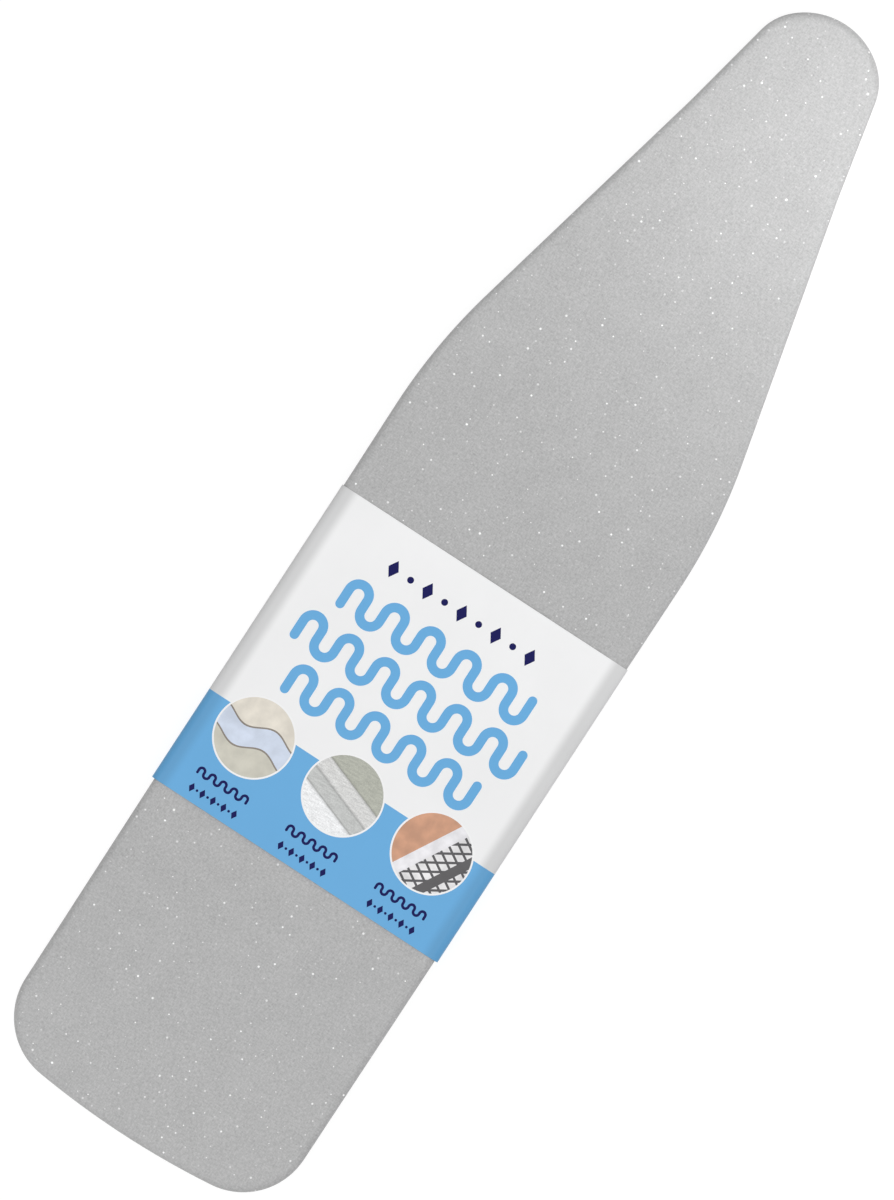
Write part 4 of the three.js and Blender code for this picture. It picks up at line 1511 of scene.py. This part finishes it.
def sleeve_path(sizes):
    """The card's outer face in section, from its inner lapped end on the right, up the right side,
    over the top, down the left side and under to its outer lapped end, as y and z. Each bend is a
    quarter round, and the two over the top are squarer, as the edge that they lie on."""
    thick, low, top = sizes.card_thickness, sizes.low_radius, sizes.top_radius
    half = SLEEVE_HIGH.y - thick
    inner_low = SLEEVE_LOW.z + thick + GLUE_HIGH.z - GLUE_LOW.z + LAP_GAP
    top_centre = SLEEVE_HIGH.z - thick - top
    centres = (
        (low - half, inner_low + thick + low, low),
        (top - half, top_centre, top),
        (half - top, top_centre, top),
        (half - low, thick + low, low),
    )

    def level_line(start, end, count, level):
        """Points of a level stretch."""
        return np.stack([np.linspace(start, end, count), np.full(count, level)], 1)

    lap_in = -(sizes.lap_offset - sizes.lap_width / 2)
    lap_out = -(sizes.lap_offset + sizes.lap_width / 2)
    points = [level_line(lap_in, centres[0][0], 12, inner_low)[:-1]]
    for number, (y, z, radius) in enumerate(centres):
        angle = -QUARTER - np.linspace(0, QUARTER, 13) - number * QUARTER
        reach = (radius + thick) * (squarer(angle) if number in (1, 2) else 1)
        arc = np.stack([y + reach * np.cos(angle), z + reach * np.sin(angle)], 1)
        points.append(arc)
        if number == 1:
            side, level = arc[-1]
            points.append(level_line(side, -side, 49, level)[1:-1])
    points.append(level_line(centres[3][0], lap_out, 40, SLEEVE_LOW.z)[1:])
    return np.concatenate(points)


def card_rise(x, y):
    """How far the card lifts off the cover: a little at its two cut ends, unevenly across, and less
    between them."""
    middle, half = middle_and_half(SLEEVE_LOW.x, SLEEVE_HIGH.x)
    from_middle = np.abs(x - middle) / half
    uneven = 0.75 + 0.25 * np.sin(23 * y + 1.1 + np.sign(x - middle))
    broad = (1 - from_middle**2) * (0.5 + 0.5 * np.cos(17.5 * y + 0.6))
    return END_LIFT * ease(from_middle, 0.75, 1.0) * uneven + BROAD_LIFT * broad


def card_top(x, y):
    """Level of the card's printed face."""
    fade = 1 - ease(np.abs(y), SLEEVE_HIGH.y - LIFT_FADE_START, SLEEVE_HIGH.y - LIFT_FADE_END)
    return SLEEVE_HIGH.z + card_rise(x, y) * fade


class BOARDCOVER_OT_sleeve(bpy.types.Operator):
    """Make the paper sleeve and the glue in its lap"""

    bl_idname = "boardcover.sleeve"
    bl_label = "Paper Sleeve"

    def execute(self, context):
        sizes, colours = context.scene.cover_sleeve, context.scene.cover_colours
        stripe = SLEEVE_LOW.x + sizes.stripe_length
        cut = sizes.card_thickness
        stations = np.concatenate([
            [SLEEVE_LOW.x],
            np.linspace(SLEEVE_LOW.x + cut, stripe, 25),
            np.linspace(stripe, SLEEVE_HIGH.x - cut, 49)[1:],
            [SLEEVE_HIGH.x],
        ])
        x = stations[:, None]
        y, z = sleeve_path(sizes).T
        z = np.where(z > SLEEVE_HIGH.z - LEVEL_SLACK, card_top(x, y), z)
        in_stripe = np.repeat((stations[1:] + stations[:-1]) / 2 < stripe, len(y) - 1)
        finishes = [
            # The white card and the blue stripe are darkened towards the folds by painted shade, more on the
            # white.
            card_finish("coated_card", colours.card, 0.2, painted_fold_shade=0.73),
            card_finish("light_blue_ink", colours.stripe, 0.2, painted_fold_shade=0.83),
            card_finish("card_back", colours.card_back, 0.0),
        ]
        sleeve = grid_piece("paper_sleeve_card", [(x, y, z)], finishes, face_finish=np.where(in_stripe, 1, 0))
        wall = thicken(sleeve, sizes.card_thickness)
        wall.material_offset = 2
        wall.material_offset_rim = 0
        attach(sleeve, "sleeve")
        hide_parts("paper_sleeve")

        along = np.linspace(GLUE_LOW.x, GLUE_HIGH.x, 120)[:, None]
        across = np.linspace(-1, 1, 9)
        middle, half = middle_and_half(GLUE_LOW.y, GLUE_HIGH.y)
        middle = middle + 0.0004 * np.sin(37 * along)
        edge = half * (0.93 + 0.05 * np.sin(61 * along) + 0.02 * np.sin(173 * along))
        height = GLUE_HIGH.z - GLUE_LOW.z
        level = GLUE_LOW.z + GLUE_GAP + (height - GLUE_GAP) * (1 - 0.35 * across**4)
        glue = grid_piece("sleeve_glue", [(along, middle + edge * across, level)], [glue_finish(colours)])
        thicken(glue, height * GLUE_SKIN)
        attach(glue, "sleeve")
        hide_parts("sleeve_glue_strip")
        return {"FINISHED"}


# A film of ink lies this far off the card and is this thick. Points nearer than the gap become one.
INK_RISE = 0.00005
INK_THICKNESS = 0.00004
POINT_GAP = 1e-6

# The ribbons: the place of each from the sleeve's tail end, and how many legs it has. A small line lies
# on the tail side of each sample. A leg is drawn in so many steps.
RIBBON_ROWS = ((0.2685, 11), (0.2160, 13), (0.1635, 11))
LINE_PLACE = 0.0325
LINE_LEGS = 10
LEG_STEPS = 26

# Rows of diamonds with dots between: the place of a row, its spacing, and the radii of both.
LARGE_ROW = (0.3165, 0.0420, 0.0100, 0.0036)
SMALL_ROW = (0.0135, 0.0130, 0.0052, 0.0014)
DIAMOND_STEPS = (-2, -1, 0, 1, 2)
DOT_STEPS = (-1.5, -0.5, 0.5, 1.5)


def ink_piece(name, grids, finish, place=None):
    """A film of ink on the card's face, as grids of x and y that take their level from the card. Its
    poles are closed and its faces turned up before it gets its thickness."""
    raised = [(x, y, card_top(x, y) + INK_RISE) for x, y in grids]
    piece = grid_piece(name, raised, [finish], smooth=False, place=place)
    work = bmesh.new()
    work.from_mesh(piece.data)
    bmesh.ops.remove_doubles(work, verts=work.verts, dist=POINT_GAP)
    work.normal_update()
    bmesh.ops.reverse_faces(work, faces=[face for face in work.faces if face.normal.z < 0])
    work.to_mesh(piece.data)
    work.free()
    thicken(piece, INK_THICKNESS)
    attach(piece, "sleeve")


def meander(x_middle, y_start, legs, pitch, height, stroke):
    """A printed line that goes up and down in legs along x, with half rounds between them, at an even
    width and with round ends. Its middle line is a steady path, and both sides lie half the stroke
    from it."""
    radius, tall, half = pitch / 2, height - stroke, stroke / 2
    bend, end = math.pi * radius, tall - radius
    lengths = [end] + [bend, tall - 2 * radius] * (legs - 2) + [bend, end]
    turns = [0] + [-math.pi, 0, math.pi, 0] * (legs // 2)
    start = (x_middle - tall / 2, y_start - half)
    count = legs * LEG_STEPS
    path, heading, total = steady_path(lengths, turns[: len(lengths)], start, 0.0, count)
    cap = half * (1 - np.cos(np.linspace(0, QUARTER, 6)))
    run = np.concatenate([cap, np.linspace(half, total - half, count)[1:-1], total - cap[::-1]])
    even = np.linspace(0, total, count + 1)
    x, y, heading = (np.interp(run, even, values) for values in (path[:, 0], path[:, 1], heading))
    inside = np.clip(half - np.minimum(run, total - run), 0, half)
    wide = np.sqrt(half**2 - inside**2)[:, None] * np.linspace(-1, 1, 5)
    return x[:, None] - np.sin(heading)[:, None] * wide, y[:, None] + np.cos(heading)[:, None] * wide


def disc(x_middle, y_middle, inner, outer, rings, sides, power=2.0, narrow=1.0):
    """A disc or ring of ink as a polar grid. Its outline keeps the sum of both coordinates' powers, so
    that power 2 is round and power 1 a diamond, and narrow squeezes it across."""
    angle = np.linspace(0, FULL, sides + 1)[None]
    reach = (np.abs(np.cos(angle)) ** power + np.abs(np.sin(angle)) ** power) ** (-1 / power)
    radius = np.linspace(inner, outer, rings)[:, None] * reach
    return x_middle + radius * np.cos(angle), y_middle + radius * np.sin(angle) * narrow


class BOARDCOVER_OT_print(bpy.types.Operator):
    """Print plain ribbons, ornaments and samples on the sleeve"""

    bl_idname = "boardcover.print"
    bl_label = "Sleeve Print"

    def execute(self, context):
        sizes, colours = context.scene.cover_sleeve, context.scene.cover_colours
        blue = card_finish("light_blue_print", colours.stripe, 0.15)
        navy = card_finish("navy_print", colours.navy, 0.0, specular=0.1)
        rim = card_finish("rim_print", (0.90, 0.90, 0.905), 0.15)
        tail = SLEEVE_LOW.x

        def centred(x, middle, legs, pitch, height, stroke):
            """A meander across the sleeve, centred on a middle."""
            start = middle + (legs - 1) * pitch / 2 + stroke / 2
            return meander(tail + x, start, legs, pitch, height, stroke)

        ribbon = sizes.ribbon_pitch, sizes.ribbon_height, sizes.ribbon_stroke
        ribbons = [centred(x, 0.0, legs, *ribbon) for x, legs in RIBBON_ROWS]
        ink_piece("sleeve_print_ribbons", ribbons, blue)

        middles = [step * sizes.disc_spacing for step in (1, 0, -1)]
        rows = [(0.0, *LARGE_ROW)] + [(middle, *SMALL_ROW) for middle in middles]
        ornaments = [
            disc(tail + x, middle + spacing * step, 0.0, diamond, 5, 40, power=1.0, narrow=0.62)
            for middle, x, spacing, diamond, _ in rows for step in DIAMOND_STEPS
        ]
        ornaments += [
            disc(tail + x, middle + spacing * step, 0.0, dot, 4, 24)
            for middle, x, spacing, _, dot in rows for step in DOT_STEPS
        ]
        ink_piece("sleeve_print_ornaments", ornaments, navy)

        line = sizes.line_pitch, sizes.line_height, sizes.line_stroke
        lines = [centred(LINE_PLACE, middle, LINE_LEGS, *line) for middle in middles]
        ink_piece("sleeve_print_lines", lines, navy)

        place, inner = tail + sizes.disc_place, sizes.disc_radius
        rims = [disc(place, middle, inner, inner + sizes.rim_width, 2, 96) for middle in middles]
        ink_piece("sleeve_print_rims", rims, rim)
        samples = (("waves", wave_sample()), ("layers", layer_sample()), ("lattice", lattice_sample()))
        for middle, (name, finish) in zip(middles, samples):
            x, y = disc(place, middle, 0.0, inner, 10, 96)
            on_disc = np.stack([(x - place) / inner, (y - middle) / inner, 0 * x], -1)
            ink_piece(f"sleeve_sample_{name}", [(x, y)], finish, place=on_disc.reshape(-1, 3))
        return {"FINISHED"}


# The stage


# Each lamp's place, the point that it looks at, and its size. The stage has its power.
LAMPS = {
    "nose": ((0.64, -0.14, 0.50), (0.60, -0.04, 0.03), 0.35),
    "overhead": ((-0.7, 0.1, 2.5), (-0.3, 0, 0), 1.8),
    "side": ((0.7, -2.4, 1.0), (0.2, 0, 0), 1.2),
    "edge": ((0.78, -0.55, 0.13), (0.60, -0.06, 0.03), 0.25),
    "tail": ((-1.6, 0.25, 0.40), (-0.68, 0, 0.03), 0.5),
    "under": ((0, 0, -2.2), (0, 0, 0), 2.2),
}
CAMERA_REACH = 50.0

# The floor's half width and its grey, and what the camera sees of it: a darker grey that glows.
FLOOR_HALF_WIDTH = 12.0
FLOOR_GREY = 0.60
SEEN_FLOOR_GREY = 0.20
SEEN_FLOOR_GLOW = 0.86


def lamp(name, place, target, size, watts):
    """A square soft lamp that looks at a target."""
    data = bpy.data.lights.new(name, "AREA")
    data.shape = "SQUARE"
    data.size = size
    data.energy = watts
    made = bpy.data.objects.new(name, data)
    made.location = place
    made.rotation_euler = (Vector(target) - made.location).to_track_quat("-Z", "Y").to_euler()
    made.visible_camera = False
    bpy.context.scene.collection.objects.link(made)


def seen_rays(tree):
    """A socket that is 1 for the rays by which a background is seen: the camera's own, and those that
    gloss or glass sends on."""
    path = add_node(tree, "LightPath").outputs
    seen = path["Is Camera Ray"]
    for name in ("Is Glossy Ray", "Is Transmission Ray"):
        seen = add_node(tree, "Math", [seen, path[name]], operation="MAXIMUM").outputs[0]
    return seen


class BOARDCOVER_OT_stage(bpy.types.Operator):
    """Set the camera, the lamps, the sky and the pale floor"""

    bl_idname = "boardcover.stage"
    bl_label = "Camera and Stage"

    def execute(self, context):
        scene, stage = context.scene, context.scene.cover_stage
        scene.view_settings.view_transform = "Standard"
        camera_data = bpy.data.cameras.new("camera")
        camera_data.lens = stage.lens
        camera = bpy.data.objects.new("camera", camera_data)
        distance = stage.frame_height * stage.lens / camera_data.sensor_width
        camera.location = (stage.look_x, stage.look_y, SLEEVE_HIGH.z + distance)
        camera.rotation_euler = (0, 0, stage.picture_turn)
        camera_data.clip_end = CAMERA_REACH
        scene.collection.objects.link(camera)
        scene.camera = camera
        for name, (place, target, size) in LAMPS.items():
            lamp(f"{name}_lamp", place, target, size, getattr(stage, f"{name}_watts"))
        self.sky(scene, stage.sky)
        self.floor(-stage.floor_drop)
        return {"FINISHED"}

    def sky(self, scene, strength):
        """Even white light. The camera, and gloss, see plain white."""
        world = bpy.data.worlds.new("sky")
        world.use_nodes = True
        scene.world = world
        tree = world.node_tree
        background = next(n for n in tree.nodes if n.type == "BACKGROUND")
        background.inputs["Color"].default_value = (1, 1, 1, 1)
        seen = add_node(tree, "MapRange", [seen_rays(tree), 0.0, 1.0, strength, 1.0])
        put(tree, background.inputs["Strength"], seen)

    def floor(self, level):
        """A wide pale floor. To the camera it is near white with a soft shadow. It hides nothing from
        below, and lets the under lamp's light up to the underside of the cover."""
        corners = np.array([[-1, -1], [1, -1], [1, 1], [-1, 1]]) * FLOOR_HALF_WIDTH
        corners = np.column_stack([corners, np.full(4, level)])
        floor = new_piece("floor", corners, [np.array([[0, 1, 2, 3]])], [], smooth=False)
        material = bpy.data.materials.new("pale_floor")
        material.use_nodes = True
        tree = material.node_tree
        tree.nodes.clear()

        def matt(grey):
            """A matt grey."""
            return add_node(tree, "BsdfDiffuse", {"Color": (grey, grey, grey, 1)})

        glow = add_node(tree, "Emission", {"Strength": SEEN_FLOOR_GLOW})
        seen_floor = add_node(tree, "AddShader", [matt(SEEN_FLOOR_GREY), glow])
        top = add_node(tree, "MixShader", [seen_rays(tree), matt(FLOOR_GREY), seen_floor])
        shadow = add_node(tree, "LightPath").outputs["Is Shadow Ray"]
        below = add_node(tree, "NewGeometry").outputs["Backfacing"]
        clear = add_node(tree, "Math", [shadow, below], operation="MAXIMUM")
        whole = add_node(tree, "MixShader", [clear, top, add_node(tree, "BsdfTransparent")])
        add_node(tree, "OutputMaterial", {"Surface": whole})
        floor.data.materials.append(material)


OPERATORS = (
    BOARDCOVER_OT_stage,
    BOARDCOVER_OT_sheet,
    BOARDCOVER_OT_pad,
    BOARDCOVER_OT_hem,
    BOARDCOVER_OT_straps,
    BOARDCOVER_OT_sleeve,
    BOARDCOVER_OT_print,
)


class BOARDCOVER_PT_panel(bpy.types.Panel):
    """Sizes of the cover, and a button for each of its pieces"""

    bl_label = "Ironing Board Cover"
    bl_idname = "BOARDCOVER_PT_panel"
    bl_space_type = "VIEW_3D"
    bl_region_type = "UI"
    bl_category = "Board Cover"

    def draw(self, context):
        for operator in OPERATORS:
            self.layout.operator(operator.bl_idname)
        for name, group in GROUPS.items():
            box = self.layout.box()
            box.label(text=group.__doc__.split(",")[0].rstrip("."))
            for key in group.__annotations__:
                box.prop(getattr(context.scene, name), key)


def register():
    """Registers the classes, and gives the scene one group of each kind."""
    for group in (*GROUPS.values(), *OPERATORS, BOARDCOVER_PT_panel):
        bpy.utils.register_class(group)
    for name, group in GROUPS.items():
        setattr(bpy.types.Scene, name, bpy.props.PointerProperty(type=group))


def unregister():
    """Takes back what register did."""
    for name in GROUPS:
        delattr(bpy.types.Scene, name)
    for group in reversed((*GROUPS.values(), *OPERATORS, BOARDCOVER_PT_panel)):
        bpy.utils.unregister_class(group)


def main():
    """Registers the classes, makes every piece in order, then calls declare_sheet, which only works out the
    sheet's plan.
    """
    register()
    for operator in OPERATORS:
        group, name = operator.bl_idname.split(".")
        getattr(getattr(bpy.ops, group), name)()
    declare_sheet(bpy.context)


if __name__ == "__main__":
    main()
